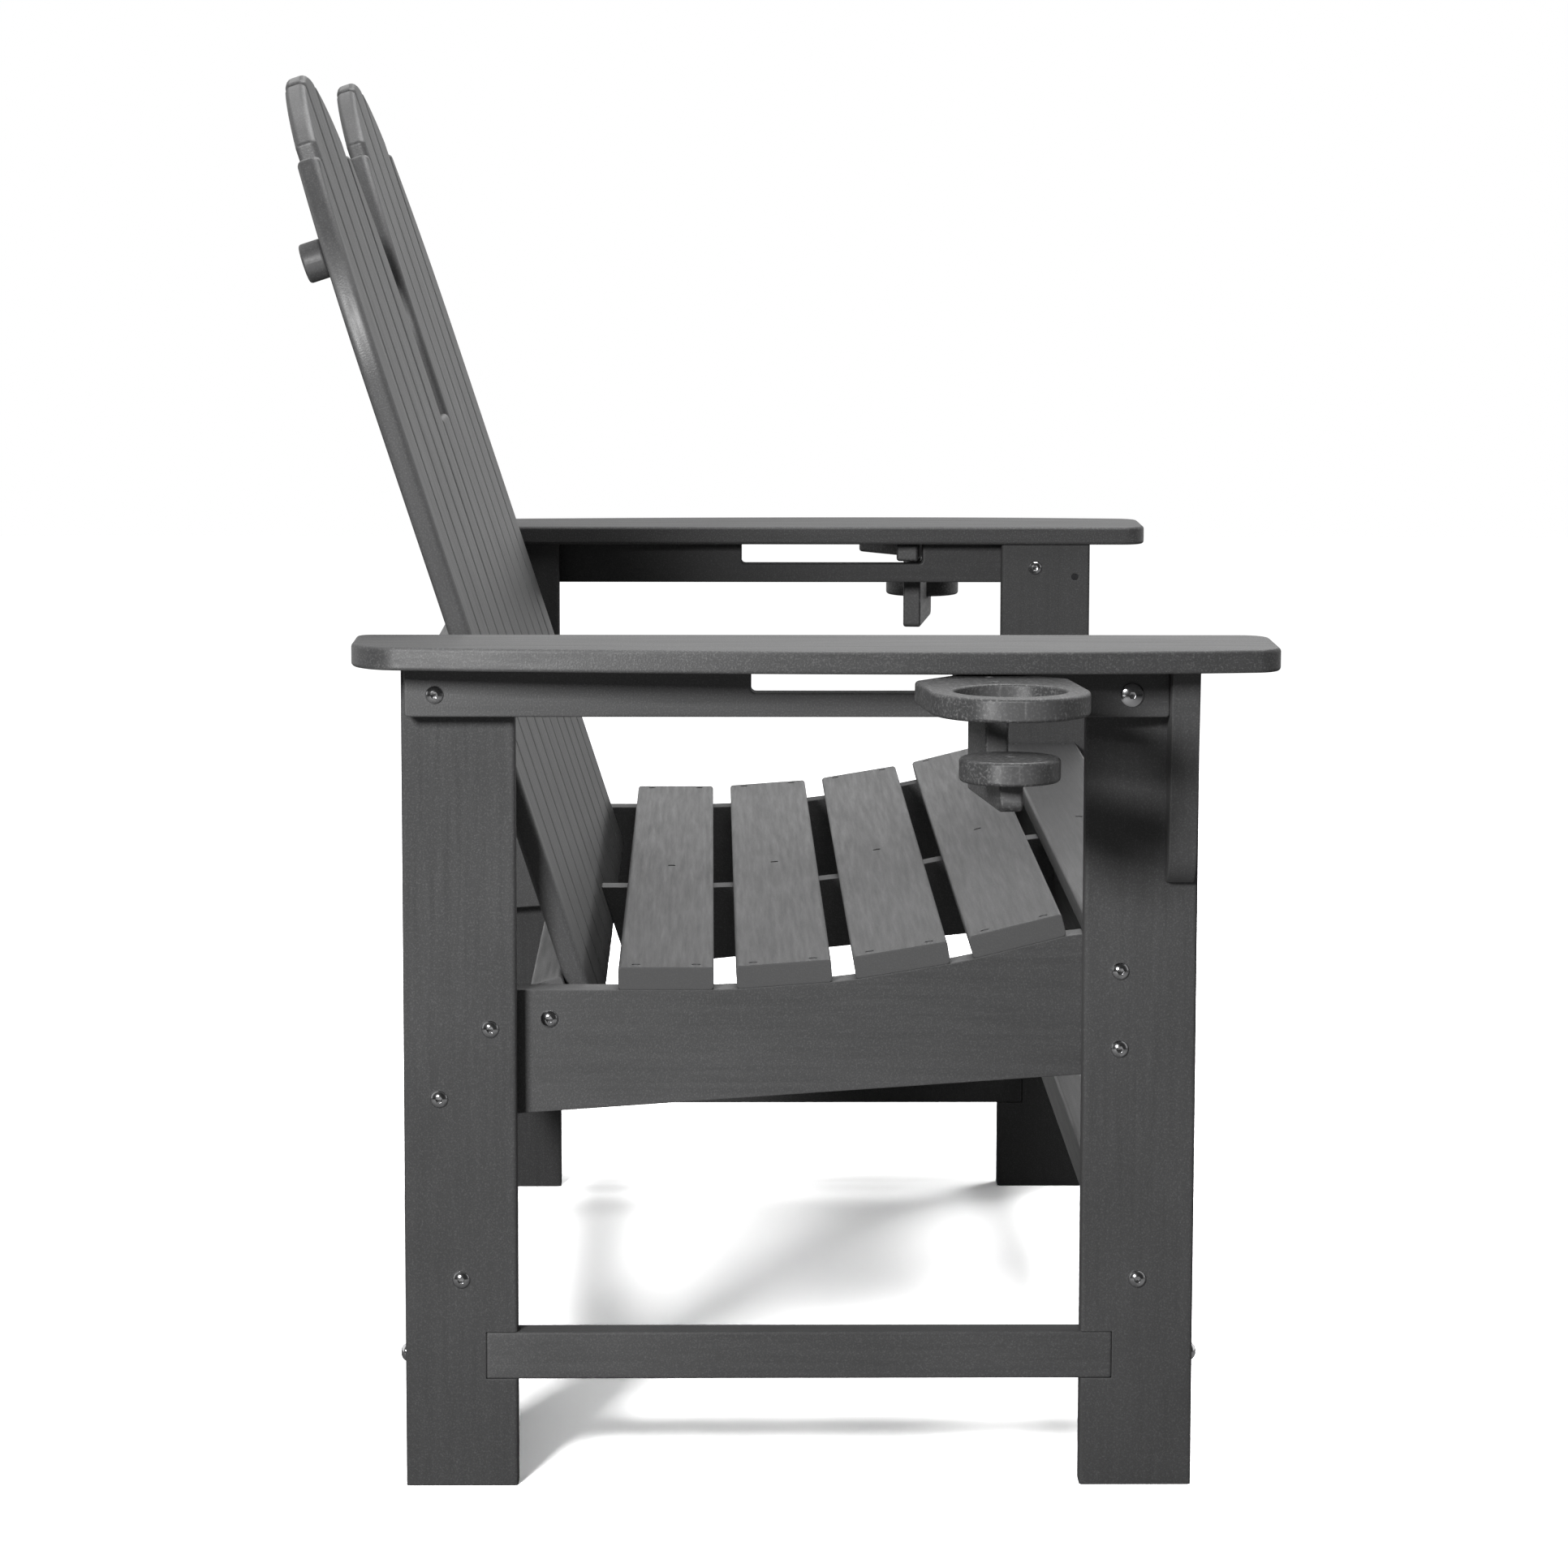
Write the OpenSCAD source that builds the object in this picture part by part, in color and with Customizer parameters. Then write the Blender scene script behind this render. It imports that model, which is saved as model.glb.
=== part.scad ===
// Two-seat upright garden bench in recycled plastic lumber, with a double-arched slatted back,
// a curved slatted seat, wide flat arms and a clip-on cup holder outside each arm.
// Millimetres. The bench stands on z = 0, faces -Y, and its width lies along X.
// Right and left are the sitter's own: the right side is at -X.

/* [Frame] */
// Width over the outer faces of the legs
frame_w = 1173; // [1000:1:1400]
// Depth from the rear edge of the rear legs to the front edge of the front legs
frame_d = 626; // [610:1:680]
// Height of the legs, up to the underside of the arms
leg_h = 661; // [610:1:740]
// Width of a leg board
leg_w = 89; // [80:1:100]
// Thickness of the thick boards: legs, stringers, rails and stretchers
frame_t = 27; // [24:0.5:32]
// Thickness of the thin boards: seat slats and arms
slat_t = 18; // [15:0.5:18.5]
// Radius worked on the long edges of the boards
edge_r = 3; // [1:0.5:5]

/* [Seat] */
// Height of the stringers under the rearmost seat slat
seat_h = 396.5; // [380:0.5:420]
// Gap between the back and the first seat slat
seat_back_gap = 24.9; // [22:0.1:36]
// Distance of the last seat slat's front edge from the front edge of the legs
seat_front_inset = 12.4; // [8:0.1:16]
// Gap between the upper edges of two seat slats
seat_gap = 17.2; // [8:0.1:18]
// Height of the stringers at their rear end
stringer_rear_h = 105.5; // [96:0.5:115]
// Height of the stringers at their front end
stringer_front_h = 108; // [100:0.5:120]
// Distance of the stringers' rear end from the rear edge of the legs
stringer_rear_inset = 8; // [2:1:14]
// Height of the shallower middle stringer, under the first slat and at its front end
mid_stringer_h = 73; // [66:0.5:80]
// Distance of the front seat rail's upper edge below the top of the stringers
seat_rail_drop = 12; // [8:1:16]
// Distance of the front seat rail's lower edge above the foot of the stringers
seat_rail_lift = 7; // [4:1:12]
// Distance of the front seat rail's middle from the rear edge of the front legs
seat_rail_inset = 28.5; // [26:0.5:34]

/* [Back] */
// Distance of the back's lower front edge in front of the rear legs
back_foot_gap = 67; // [64:0.1:76]
// Distance of the back's lower front edge below the stringers under the first seat slat
back_foot_drop = 36.5; // [32:0.5:42]
// Distance from the rear edge of the legs to the front of the back, at the height of the arms
back_top_f = 57.4; // [50:0.1:66]
// Distance of the sides of the back from the stringers
back_side_gap = 15.5; // [8:0.5:40]
// Gap between two back slats
back_gap = 5.5; // [3:0.1:8]
// Thickness of the back slats
back_t = 18; // [16:0.5:21]
// Length of the tallest slats along the back
back_len = 799; // [780:1:850]
// Radius of the arc across the tops of the three middle slats of each arch
cap_r = 198; // [190:1:240]
// Distance of the outer slats' flat shoulders below the top of the arch
shoulder_drop = 70; // [64:1:90]
// Distance from the top of the arch down to where its sides begin to curve in
side_drop = 254; // [230:1:280]
// Radius of the curved sides of the arch
side_r = 328; // [300:1:380]
// Distance from the top of the arches down to the top of the short middle slat
mid_slat_drop = 313; // [290:1:340]
// Height of the lower back rail
low_rail_h = 51; // [46:1:54]
// Height of the middle back rail, level with the arms
mid_rail_h = 38; // [34:1:46]
// Height of the upper back rail
top_rail_h = 32; // [26:1:40]
// Thickness of the upper back rail
top_rail_t = 18; // [14:0.5:22]
// Distance from the top of the arches down to the middle of the upper rail
top_rail_drop = 149; // [140:1:170]
// Distance of the upper rail's ends from the edges of the back
top_rail_inset = 24; // [24:1:60]

/* [Arms] */
// Distance that the arm's rear end reaches behind the legs
arm_rear = 36; // [25:1:50]
// Distance that the arm's front end reaches past the legs
arm_front = 55.5; // [40:0.5:60]
// Distance of the arm's inner edge inside the outer face of the leg
arm_in = 34; // [32:1:45]
// Reach of the arm's outer edge past the leg, where the arm is widest
arm_out = 99; // [85:1:104]
// How much less the outer edge reaches at the rear end
arm_rear_bow = 33; // [15:1:34]
// How much less the outer edge reaches at the front end
arm_front_bow = 18; // [8:1:22]
// Distance of the widest place from the rear edge of the legs
arm_wide_f = 450; // [400:1:480]
// Radius of the arm's front corners
arm_corner = 22; // [12:1:28]
// Radius of the arm's rear outer corner
arm_rear_corner = 42; // [30:1:48]
// Radius of the arm's rear inner corner
arm_inner_corner = 12; // [6:1:20]
// Thickness of the apron under each arm
apron_t = 24; // [22:0.5:27]
// Height of the apron
apron_h = 41; // [39:1:44]
// Distance of the apron's rear end from the rear edge of the legs
apron_rear_inset = 4; // [2:1:8]
// Length of the slot in the apron's upper edge
slot_len = 184; // [180:1:190]
// Distance of the slot's front end from the front edge of the legs
slot_front_inset = 168; // [160:1:180]
// Thickness of the bracket under the arm at the front leg
corbel_t = 22; // [20:1:26]
// Height of the bracket
corbel_h = 174; // [160:1:200]
// Reach of the bracket at its top
corbel_top = 46; // [40:1:60]
// Reach of the bracket at its foot
corbel_foot = 30; // [26:1:34]
// Distance of the bracket from the front edge of the leg
corbel_inset = 4; // [2:1:8]

/* [Stretchers] */
// Height of every stretcher
stretcher_h = 38; // [34:1:42]
// Height of the side stretchers' lower edge above the ground
side_stretcher_low = 87; // [70:1:95]
// Height of the cross stretchers' lower edge above the ground
cross_stretcher_low = 149; // [142:1:165]
// Depth that a side stretcher is let into each leg
notch_d = 25; // [18:1:27]

/* [Cup holders] */
// Distance from the leg's outer face to the middle of the cup ring
cup_out = 190; // [186:1:205]
// Outer radius of the cup ring
cup_r = 60; // [56:1:64]
// Radius of the hole for the cup
cup_hole_r = 42.5; // [36:0.5:44]
// Distance from the middle of the ring back to where its sides begin to taper
cup_side = 77; // [70:1:80]
// Width of the tongue that goes through the apron's slot
tongue_w = 22; // [20:0.5:24]
// Turn of each cup holder toward the front, in degrees
cup_yaw = 7; // [5:0.5:8]
// Radius of the disc that the cup stands on
base_r = 38; // [34:1:42]
// Distance from the ring's underside down to the disc's upper face
base_drop = 32; // [26:1:50]
// Height of the hanger's foot below the disc
hanger_foot_h = 23; // [18:1:30]
// Distance of the hanger's inner end from the leg's outer face, along the hanger
hanger_in = 59; // [32:1:66]
// Distance that the hanger's foot reaches past the middle of the disc
hanger_past = 9; // [8:1:20]
// Distance from the middle of the ring back to the outer end of the hanger's upper part
hanger_neck = 53; // [48:1:54]

/* [Fasteners] */
// Diameter of the bolts
bolt_d = 8; // [6:0.5:9]
// Diameter of the bolts' button heads
head_d = 14; // [13:0.5:16]
// Height of the button heads
head_h = 4.4; // [3.6:0.1:5]
// Width across the flats of the hexagon sockets
socket_w = 5; // [4:0.5:5.5]
// Depth of the hexagon sockets
socket_d = 2.8; // [2:0.1:3]
// Diameter of the screws
screw_d = 4; // [3:0.5:5]
// Diameter of the screw heads
screw_head_d = 7; // [6:0.5:8]
// Height of the screw heads
screw_head_h = 2.4; // [2:0.1:2.6]
// Depth to which the screw holes are widened for the heads
sink = 3; // [2.7:0.1:4]
// Diameter of the sleeve nuts' heads at the front of the aprons
nut_head_d = 18.4; // [17:0.1:22]
// Height of their heads at the rim
nut_rim_h = 1; // [0.6:0.1:2]
// Height of their heads in the middle
nut_head_h = 3; // [2.4:0.1:4]
// Wall of their sleeves
nut_wall = 1.2; // [1:0.1:2]
// Length of their sleeves
nut_sleeve_l = 16; // [12:1:19]

/* [Hidden] */

$fn = 48;
// Number of facets round the large arcs
fine_fn = 160;
// Number of straight steps in each arc of an arm's outline
arc_n = 14;
// Overrun that takes every cut past the faces it goes through
over = 1;
// Radial clearance of every fastener in its hole
fit = 0.1;
// Slopes of the seat slats from rear to front, in degrees
seat_slopes = [0, 4.2, 9.5, 14, 0];
// Number of slats in each arch of the back
hump_n = 5;
// Depth that a screw goes into the last board it holds
bite = 12;
// Depth that a bolt goes into the end of a rail
end_bite = 42;
// Places of the two rear bolts of each stringer, as shares of the leg's width and the stringer's height
rear_bolt_shares = [[0.77, 0.254], [0.315, 0.785]];
// Distance of the front bolts from the middle of the front rail, as a share of its height
front_bolt_share = 0.35;
// Distance of the end screws from the middle of a seat slat, as a share of its width
seat_screw_share = 0.316;
// Distance of a back screw from the middle of its slat, as a share of its width
back_screw_share = 0.24;
// Distance of the apron's front fastening from the front edge of the leg
apron_bolt_inset = 55.5;
// Depths of the bracket screws below the top of the leg, as shares of the bracket's height
bracket_screw_shares = [0.19, 0.77];
// Distance of the upright arm screws from the ends of the slot
arm_screw_gap = 33;
// Distance of the back screws above the middle of the lower rail, clear of its bolts
low_screw_up = 12;
// Heights of the middle stringer's rear screws, as shares of the lower rail's height
end_screw_shares = [0.18, 0.45];
// Distance of the bolts in the lower and middle back rails from those rails' rear faces
rail_bolt_edge = 9.5;
// Depth of the arm screws' heads inside the apron
arm_screw_sink = 20;
// Clearance of the tongue above the floor of its slot
tongue_lift = 2.8;
// Clearance of the tongue below the arm
tongue_play = 1.6;
// Clearance of the tongue before the front end of its slot
tongue_gap = 1.8;
// Distance that the tongue reaches past the inner face of the apron
tongue_past = 2;
// Distances of the ring's two screws from the outer end of the hanger's upper part
ring_screw_near = 7;
ring_screw_far = 40;
// Gap between the end of a front apron bolt and the head of its nut
nut_gap = 2;
// Radius at the inner corners of the slot
slot_corner = 4;
// Height of the rim of a button head
head_rim_h = 1;
// Colours of the lumber and of the steel
lumber = [0.3, 0.3, 0.3];
steel = [0.78, 0.78, 0.8];

half_w = frame_w / 2;
leg_in = half_w - frame_t;
stringer_in = leg_in - frame_t;
front_leg_f = frame_d - leg_w;
seat_n = len(seat_slopes);
back_n = 2 * hump_n + 1;
back_half = stringer_in - back_side_gap;
back_slat_w = (2 * back_half - (back_n - 1) * back_gap) / back_n;
back_pitch = back_slat_w + back_gap;
back_screw_half = back_screw_share * back_slat_w;
// Number of an arch's outermost slats, counted from its middle slat
arch_k = (hump_n - 1) / 2;
arch_half = arch_k * back_pitch + back_slat_w / 2;
cap_mid = back_len - cap_r;
shoulder = back_len - shoulder_drop;
side_start = back_len - side_drop;
mid_slat_len = back_len - mid_slat_drop;
top_rail_mid = back_len - top_rail_drop;
back_foot_f = leg_w + back_foot_gap;
back_foot_h = seat_h - back_foot_drop;
// Lean of the back from upright
back_lean = atan((back_foot_f - back_top_f) / (leg_h - back_foot_h));
thick_rail_y = back_t + frame_t;
rail_bolt_y = thick_rail_y - rail_bolt_edge;
// Distance along the back at which the middle rail's upper front edge is level with the leg tops
mid_rail_top = (leg_h - back_foot_h + back_t * sin(back_lean)) / cos(back_lean);
mid_rail_mid = mid_rail_top - mid_rail_h / 2;
cross_bolt_z = cross_stretcher_low + stretcher_h / 2;
side_bolt_z = side_stretcher_low + stretcher_h / 2;
corbel_mid_f = frame_d - corbel_inset - corbel_t / 2;
apron_len = frame_d - apron_rear_inset - corbel_inset - corbel_t;
apron_low = leg_h - apron_h;
slot_h = slat_t + tongue_lift + tongue_play;
slot_f = frame_d - slot_front_inset - slot_len;
ring_z = leg_h - slat_t - tongue_play;
base_top_z = ring_z - base_drop;
hanger_top_z = base_top_z - slat_t;
// Distances along a cup holder's own axis, measured from the leg's outer face
cup_l = cup_out / cos(cup_yaw);
taper_l = cup_l - cup_side;
neck_l = cup_l - hanger_neck;
// Distance forward at which a cup holder's axis crosses the leg's outer face
cup_f = slot_f + slot_len - tongue_gap - tongue_w / 2 / cos(cup_yaw) - apron_t * tan(cup_yaw);
// Lengths of the fasteners below their heads
long_bolt_l = 2 * frame_t + end_bite;
side_bolt_l = leg_w - notch_d + end_bite;
seat_screw_l = slat_t + 2 * bite;
bracket_screw_l = frame_t + bite;
arm_screw_l = apron_h - arm_screw_sink + bite;
thick_screw_l = frame_t + bite;
thin_screw_l = top_rail_t + bite;
end_screw_l = thick_rail_y + 2 * bite;
ring_screw_l = slat_t + 2 * bite;
base_screw_l = slat_t + bite;
apron_bolt_l = frame_t + apron_t - nut_gap;
// The bench is centred between its rearmost point, the top of the back, and the arms' front ends
back_rear_f = back_foot_f - back_len * sin(back_lean) - back_t * cos(back_lean);
mid_f = (frame_d + arm_front + back_rear_f) / 2;

function fy(f) = mid_f - f;
function dir(a) = [cos(a), sin(a)];
function up(a) = [-sin(a), cos(a)];
// Rear lower corner of seat slat i, as distance forward and height
function seat_pt(i) =
    i == 0 ? [seat_start, seat_h] : seat_end(i - 1)
    + slat_t * (up(seat_slopes[i - 1]) - up(seat_slopes[i]))
    + seat_gap * dir((seat_slopes[i - 1] + seat_slopes[i]) / 2);
function seat_end(i) = seat_pt(i) + seat_slat_w * dir(seat_slopes[i]);
function total(v, i = 0) = i == len(v) ? 0 : v[i] + total(v, i + 1);
seat_start = back_foot_f - back_foot_drop * tan(back_lean) + seat_back_gap;
// Width of a seat slat: the five and their gaps fill the length between the back and the front
seat_gap_run = seat_gap
    * total([for (i = [1 : seat_n - 1]) cos((seat_slopes[i - 1] + seat_slopes[i]) / 2)]);
seat_turn_run = slat_t * (sin(seat_slopes[seat_n - 1]) - sin(seat_slopes[0]));
seat_slat_w = (frame_d - seat_front_inset - seat_start - seat_gap_run - seat_turn_run)
    / total([for (a = seat_slopes) cos(a)]);
seat_screw_half = seat_screw_share * seat_slat_w;
seat_front = seat_end(seat_n - 1);
seat_rail_h = stringer_front_h - seat_rail_drop - seat_rail_lift;
seat_rail_f = front_leg_f + seat_rail_inset;
seat_rail_top = seat_front[1] - seat_rail_drop;
seat_rail_mid = seat_rail_top - seat_rail_h / 2;
lap_screw_l = seat_rail_h / 2 + bite;
// Middle of back slat i across the bench
function back_x(i) = (i - (back_n - 1) / 2) * back_pitch;
// Distance forward and height of a place in the back's own frame
function back_f(y, z) = back_foot_f - z * sin(back_lean) - y * cos(back_lean);
function back_z(y, z) = back_foot_h + z * cos(back_lean) - y * sin(back_lean);
// Points of an arc about c from angle a0 to a1
function arc(c, r, a0, a1) = [for (k = [0 : arc_n]) c + r * dir(a0 + (a1 - a0) * k / arc_n)];

// Extrudes a side view, drawn as distance forward and height, from x over thickness t
module side_board(x, t) {
    translate([x + t, mid_f, 0])
        rotate([90, 0, -90])
            linear_extrude(t) children();
}

// Extrudes a plan view of the right side, drawn as reach outward from the leg and distance forward
module plan_board(z, t) {
    translate([-half_w, mid_f, z])
        rotate([0, 0, 180])
            linear_extrude(t) children();
}

// The back's own frame: x across, y behind its front face, z up along the slats from their foot
module on_back() {
    translate([0, fy(back_foot_f), back_foot_h])
        rotate([-back_lean, 0, 0]) children();
}

// A place on the right side whose z axis points along +X
module on_side(x, f, z) {
    translate([x, fy(f), z])
        rotate([0, 90, 0]) children();
}

module left() {
    mirror([1, 0, 0]) children();
}

module both() {
    children();
    left() children();
}

// Rectangle with round corners, from the origin
module round_rect(w, h, r) {
    translate([r, 0]) square([w - 2 * r, h]);
    translate([0, r]) square([w, h - 2 * r]);
    for (x = [r, w - r], y = [r, h - r])
        translate([x, y]) circle(r);
}

// Board along X between -h and h, with a section w deep from y = 0 and t high from z = 0
module cross_board(h, w, t) {
    translate([-h, 0, 0])
        rotate([90, 0, 90])
            linear_extrude(2 * h) round_rect(w, t, edge_r);
}

// Domed head of diameter d that goes up from the origin over height h, with a low rim
module domed_head(d, h, rim) {
    dome_h = h - rim;
    dome_r = (d * d / 4 + dome_h * dome_h) / (2 * dome_h);
    rotate_extrude()
        intersection() {
            square([d / 2, h]);
            translate([0, h - dome_r]) circle(dome_r, $fn = fine_fn);
        }
}

// Hexagon socket that goes down from height h over depth d
module hex_socket(h, d) {
    translate([0, 0, h - d])
        cylinder(d = socket_w / cos(30), h = d + over, $fn = 6);
}

// Button head bolt: the head lies below the origin and the shank goes up over length l
module bolt(l) {
    difference() {
        union() {
            cylinder(d = bolt_d, h = l);
            mirror([0, 0, 1]) domed_head(head_d, head_h, head_rim_h);
        }
        mirror([0, 0, 1]) hex_socket(head_h, socket_d);
    }
}

module bolt_hole(l) {
    translate([0, 0, -over])
        cylinder(d = bolt_d + 2 * fit, h = l + over + fit);
}

// Screw that goes down from the origin over length l, with its head sunk below the origin
module screw(l) {
    translate([0, 0, -sink]) cylinder(d = screw_head_d, h = screw_head_h);
    translate([0, 0, -l]) cylinder(d = screw_d, h = l - sink);
}

module screw_hole(l) {
    translate([0, 0, -sink]) cylinder(d = screw_head_d + 2 * fit, h = sink + over);
    translate([0, 0, -l - fit]) cylinder(d = screw_d + 2 * fit, h = l);
}

// Places of the fasteners on the right side of the frame
module rear_bolt_places() {
    for (place = rear_bolt_shares)
        on_side(-half_w, place[0] * leg_w, seat_h - place[1] * stringer_rear_h) children();
}
module front_bolt_places() {
    for (s = [-1, 1])
        on_side(-half_w, seat_rail_f, seat_rail_mid + s * front_bolt_share * seat_rail_h) children();
}
module cross_bolt_places() {
    for (f = [leg_w / 2, frame_d - leg_w / 2])
        on_side(-half_w, f, cross_bolt_z) children();
}
module arm_joint_place() {
    on_side(-half_w - apron_t, back_f(rail_bolt_y, mid_rail_mid), back_z(rail_bolt_y, mid_rail_mid))
        children();
}
module apron_bolt_place() {
    on_side(-leg_in, frame_d - apron_bolt_inset, back_z(rail_bolt_y, mid_rail_mid))
        mirror([0, 0, 1]) children();
}
module lower_rail_bolt_place() {
    on_side(-leg_in, back_f(rail_bolt_y, low_rail_h / 2), back_z(rail_bolt_y, low_rail_h / 2))
        children();
}
module bracket_screw_places() {
    for (share = bracket_screw_shares)
        on_side(-leg_in, corbel_mid_f, leg_h - share * corbel_h) children();
}
module side_bolt_places() {
    for (front = [false, true])
        translate([-half_w + frame_t / 2, fy(front ? frame_d : 0), side_bolt_z])
            rotate([front ? -90 : 90, 0, 0]) children();
}
module arm_screw_places() {
    joint_f = back_f(rail_bolt_y, mid_rail_mid);
    for (f = [(joint_f + slot_f) / 2, slot_f - arm_screw_gap, slot_f + slot_len + arm_screw_gap])
        translate([-half_w - apron_t / 2, fy(f), apron_low + arm_screw_sink])
            mirror([0, 0, 1]) children();
}

// The frame of seat slat i: y back from its front edge, z up from its underside
module on_slat(i) {
    translate([0, fy(seat_end(i)[0]), seat_end(i)[1]])
        rotate([-seat_slopes[i], 0, 0]) children();
}

// Places of the screws on seat slat i: two over each side stringer and one over the middle
module seat_screw_places(i) {
    on_slat(i)
        translate([0, seat_slat_w / 2, slat_t]) {
            children();
            for (x = [-1, 1], y = [-1, 1])
                translate([x * (leg_in - frame_t / 2), y * seat_screw_half, 0]) children();
        }
}

// Places of the screws from the rear face of a back rail into slat i
module back_screw_places(i, y, z, offsets) {
    on_back()
        for (x = offsets)
            translate([back_x(i) + x, y, z])
                rotate([-90, 0, 0]) children();
}
module thick_screw_places(i) {
    for (z = [low_rail_h / 2 + low_screw_up, mid_rail_mid])
        back_screw_places(i, thick_rail_y, z, [-back_screw_half, back_screw_half]) children();
}
module thin_screw_places(i) {
    if (i != hump_n)
        back_screw_places(i, back_t + top_rail_t, top_rail_mid, [0]) children();
}

// Screws that hold the middle stringer: two through the lower rail, one up through the front rail
module end_screw_places() {
    for (share = end_screw_shares)
        back_screw_places(hump_n, thick_rail_y, share * low_rail_h, [0]) children();
}
module lap_screw_place() {
    translate([0, fy(seat_rail_f), seat_rail_mid - seat_rail_h / 2])
        mirror([0, 0, 1]) children();
}

module leg(f, notch_f) {
    difference() {
        translate([-half_w, fy(f + leg_w), 0])
            linear_extrude(leg_h) round_rect(frame_t, leg_w, edge_r);
        side_board(-half_w - over, frame_t + 2 * over)
            translate([notch_f, side_stretcher_low]) square([notch_d + over, stretcher_h]);
        side_bolt_places() bolt_hole(side_bolt_l);
        cross_bolt_places() bolt_hole(frame_t + end_bite);
        children();
    }
}

module leg_rear_right() {
    color(lumber)
        leg(0, leg_w - notch_d) {
            rear_bolt_places() bolt_hole(long_bolt_l);
            arm_joint_place() bolt_hole(apron_t + long_bolt_l);
        }
}
module leg_front_right() {
    color(lumber)
        leg(front_leg_f, front_leg_f - over) {
            front_bolt_places() bolt_hole(long_bolt_l);
            apron_bolt_place() bolt_hole(long_bolt_l);
            bracket_screw_places() screw_hole(bracket_screw_l);
        }
}
module leg_rear_left() { left() leg_rear_right(); }
module leg_front_left() { left() leg_front_right(); }

// Side view of a stringer with the given lower edge; its upper edge follows the undersides of the slats
module stringer_2d(lower_edge) {
    polygon(concat(
        [[stringer_rear_inset, seat_h]],
        [for (i = [0 : seat_n - 1]) each [seat_pt(i), seat_end(i)]],
        lower_edge
    ));
}

module seat_stringer_right() {
    color(lumber)
        difference() {
            side_board(-leg_in, frame_t)
                stringer_2d([[seat_front[0], seat_front[1] - stringer_front_h],
                             [stringer_rear_inset, seat_h - stringer_rear_h]]);
            rear_bolt_places() bolt_hole(long_bolt_l);
            front_bolt_places() bolt_hole(long_bolt_l);
            lower_rail_bolt_place() bolt_hole(long_bolt_l);
            for (i = [0 : seat_n - 1])
                seat_screw_places(i) screw_hole(seat_screw_l);
        }
}
module seat_stringer_left() { left() seat_stringer_right(); }

// The middle stringer butts against the back and is halved over the front rail
module seat_stringer_middle() {
    color(lumber)
        difference() {
            side_board(-frame_t / 2, frame_t)
                stringer_2d([[seat_front[0], seat_front[1] - mid_stringer_h],
                             [seat_start, seat_h - mid_stringer_h],
                             [stringer_rear_inset, seat_h - mid_stringer_h]]);
            on_back()
                translate([-frame_t, 0, -back_foot_h])
                    cube([2 * frame_t, frame_d, back_foot_h + back_len]);
            side_board(-frame_t, 2 * frame_t)
                translate([seat_rail_f - frame_t / 2, 0]) square([frame_t, seat_rail_mid]);
            for (i = [0 : seat_n - 1])
                seat_screw_places(i) screw_hole(seat_screw_l);
            end_screw_places() screw_hole(end_screw_l);
            lap_screw_place() screw_hole(lap_screw_l);
        }
}

module seat_front_rail() {
    color(lumber)
        difference() {
            translate([0, fy(seat_rail_f + frame_t / 2), seat_rail_top - seat_rail_h])
                cross_board(stringer_in, frame_t, seat_rail_h);
            side_board(-frame_t / 2, frame_t)
                translate([seat_rail_f - frame_t, seat_rail_mid]) square([2 * frame_t, seat_rail_h]);
            both() front_bolt_places() bolt_hole(long_bolt_l);
            lap_screw_place() screw_hole(lap_screw_l);
        }
}

module seat_slat(i) {
    color(lumber)
        difference() {
            on_slat(i) cross_board(leg_in, seat_slat_w, slat_t);
            seat_screw_places(i) screw_hole(seat_screw_l);
        }
}
module seat_slat_1() { seat_slat(0); }
module seat_slat_2() { seat_slat(1); }
module seat_slat_3() { seat_slat(2); }
module seat_slat_4() { seat_slat(3); }
module seat_slat_5() { seat_slat(4); }

// Outlines of an arch's slats, drawn about the middle of the arch. Slat k is counted from its middle slat.
module cap_slat_2d(k) {
    low_x = k * back_pitch - back_slat_w / 2;
    translate([low_x, 0]) square([back_slat_w, cap_mid]);
    intersection() {
        translate([low_x, cap_mid]) square([back_slat_w, cap_r]);
        translate([0, cap_mid]) circle(cap_r, $fn = fine_fn);
    }
}

// The outermost slat on side s has a flat shoulder and a curved outer edge
module shoulder_slat_2d(s) {
    low_x = s * arch_k * back_pitch - back_slat_w / 2;
    translate([low_x, 0]) square([back_slat_w, side_start]);
    intersection() {
        translate([low_x, side_start]) square([back_slat_w, shoulder - side_start]);
        translate([s * (arch_half - side_r), side_start]) circle(side_r, $fn = fine_fn);
    }
}

// Slat i of the right arch, with the outline that is given
module back_slat(i) {
    color(lumber)
        difference() {
            on_back()
                translate([back_x(arch_k), back_t, 0])
                    rotate([90, 0, 0])
                        linear_extrude(back_t) children();
            thick_screw_places(i) screw_hole(thick_screw_l);
            thin_screw_places(i) screw_hole(thin_screw_l);
        }
}
module back_slat_01() { back_slat(0) shoulder_slat_2d(-1); }
module back_slat_02() { back_slat(1) cap_slat_2d(-1); }
module back_slat_03() { back_slat(2) cap_slat_2d(0); }
module back_slat_04() { back_slat(3) cap_slat_2d(1); }
module back_slat_05() { back_slat(4) shoulder_slat_2d(1); }
module back_slat_07() { left() back_slat_05(); }
module back_slat_08() { left() back_slat_04(); }
module back_slat_09() { left() back_slat_03(); }
module back_slat_10() { left() back_slat_02(); }
module back_slat_11() { left() back_slat_01(); }

// The middle slat stands between the arches
module back_slat_06() {
    color(lumber)
        difference() {
            on_back()
                translate([-back_slat_w / 2, 0, 0]) cube([back_slat_w, back_t, mid_slat_len]);
            thick_screw_places(hump_n) screw_hole(thick_screw_l);
            end_screw_places() screw_hole(end_screw_l);
        }
}

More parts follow.
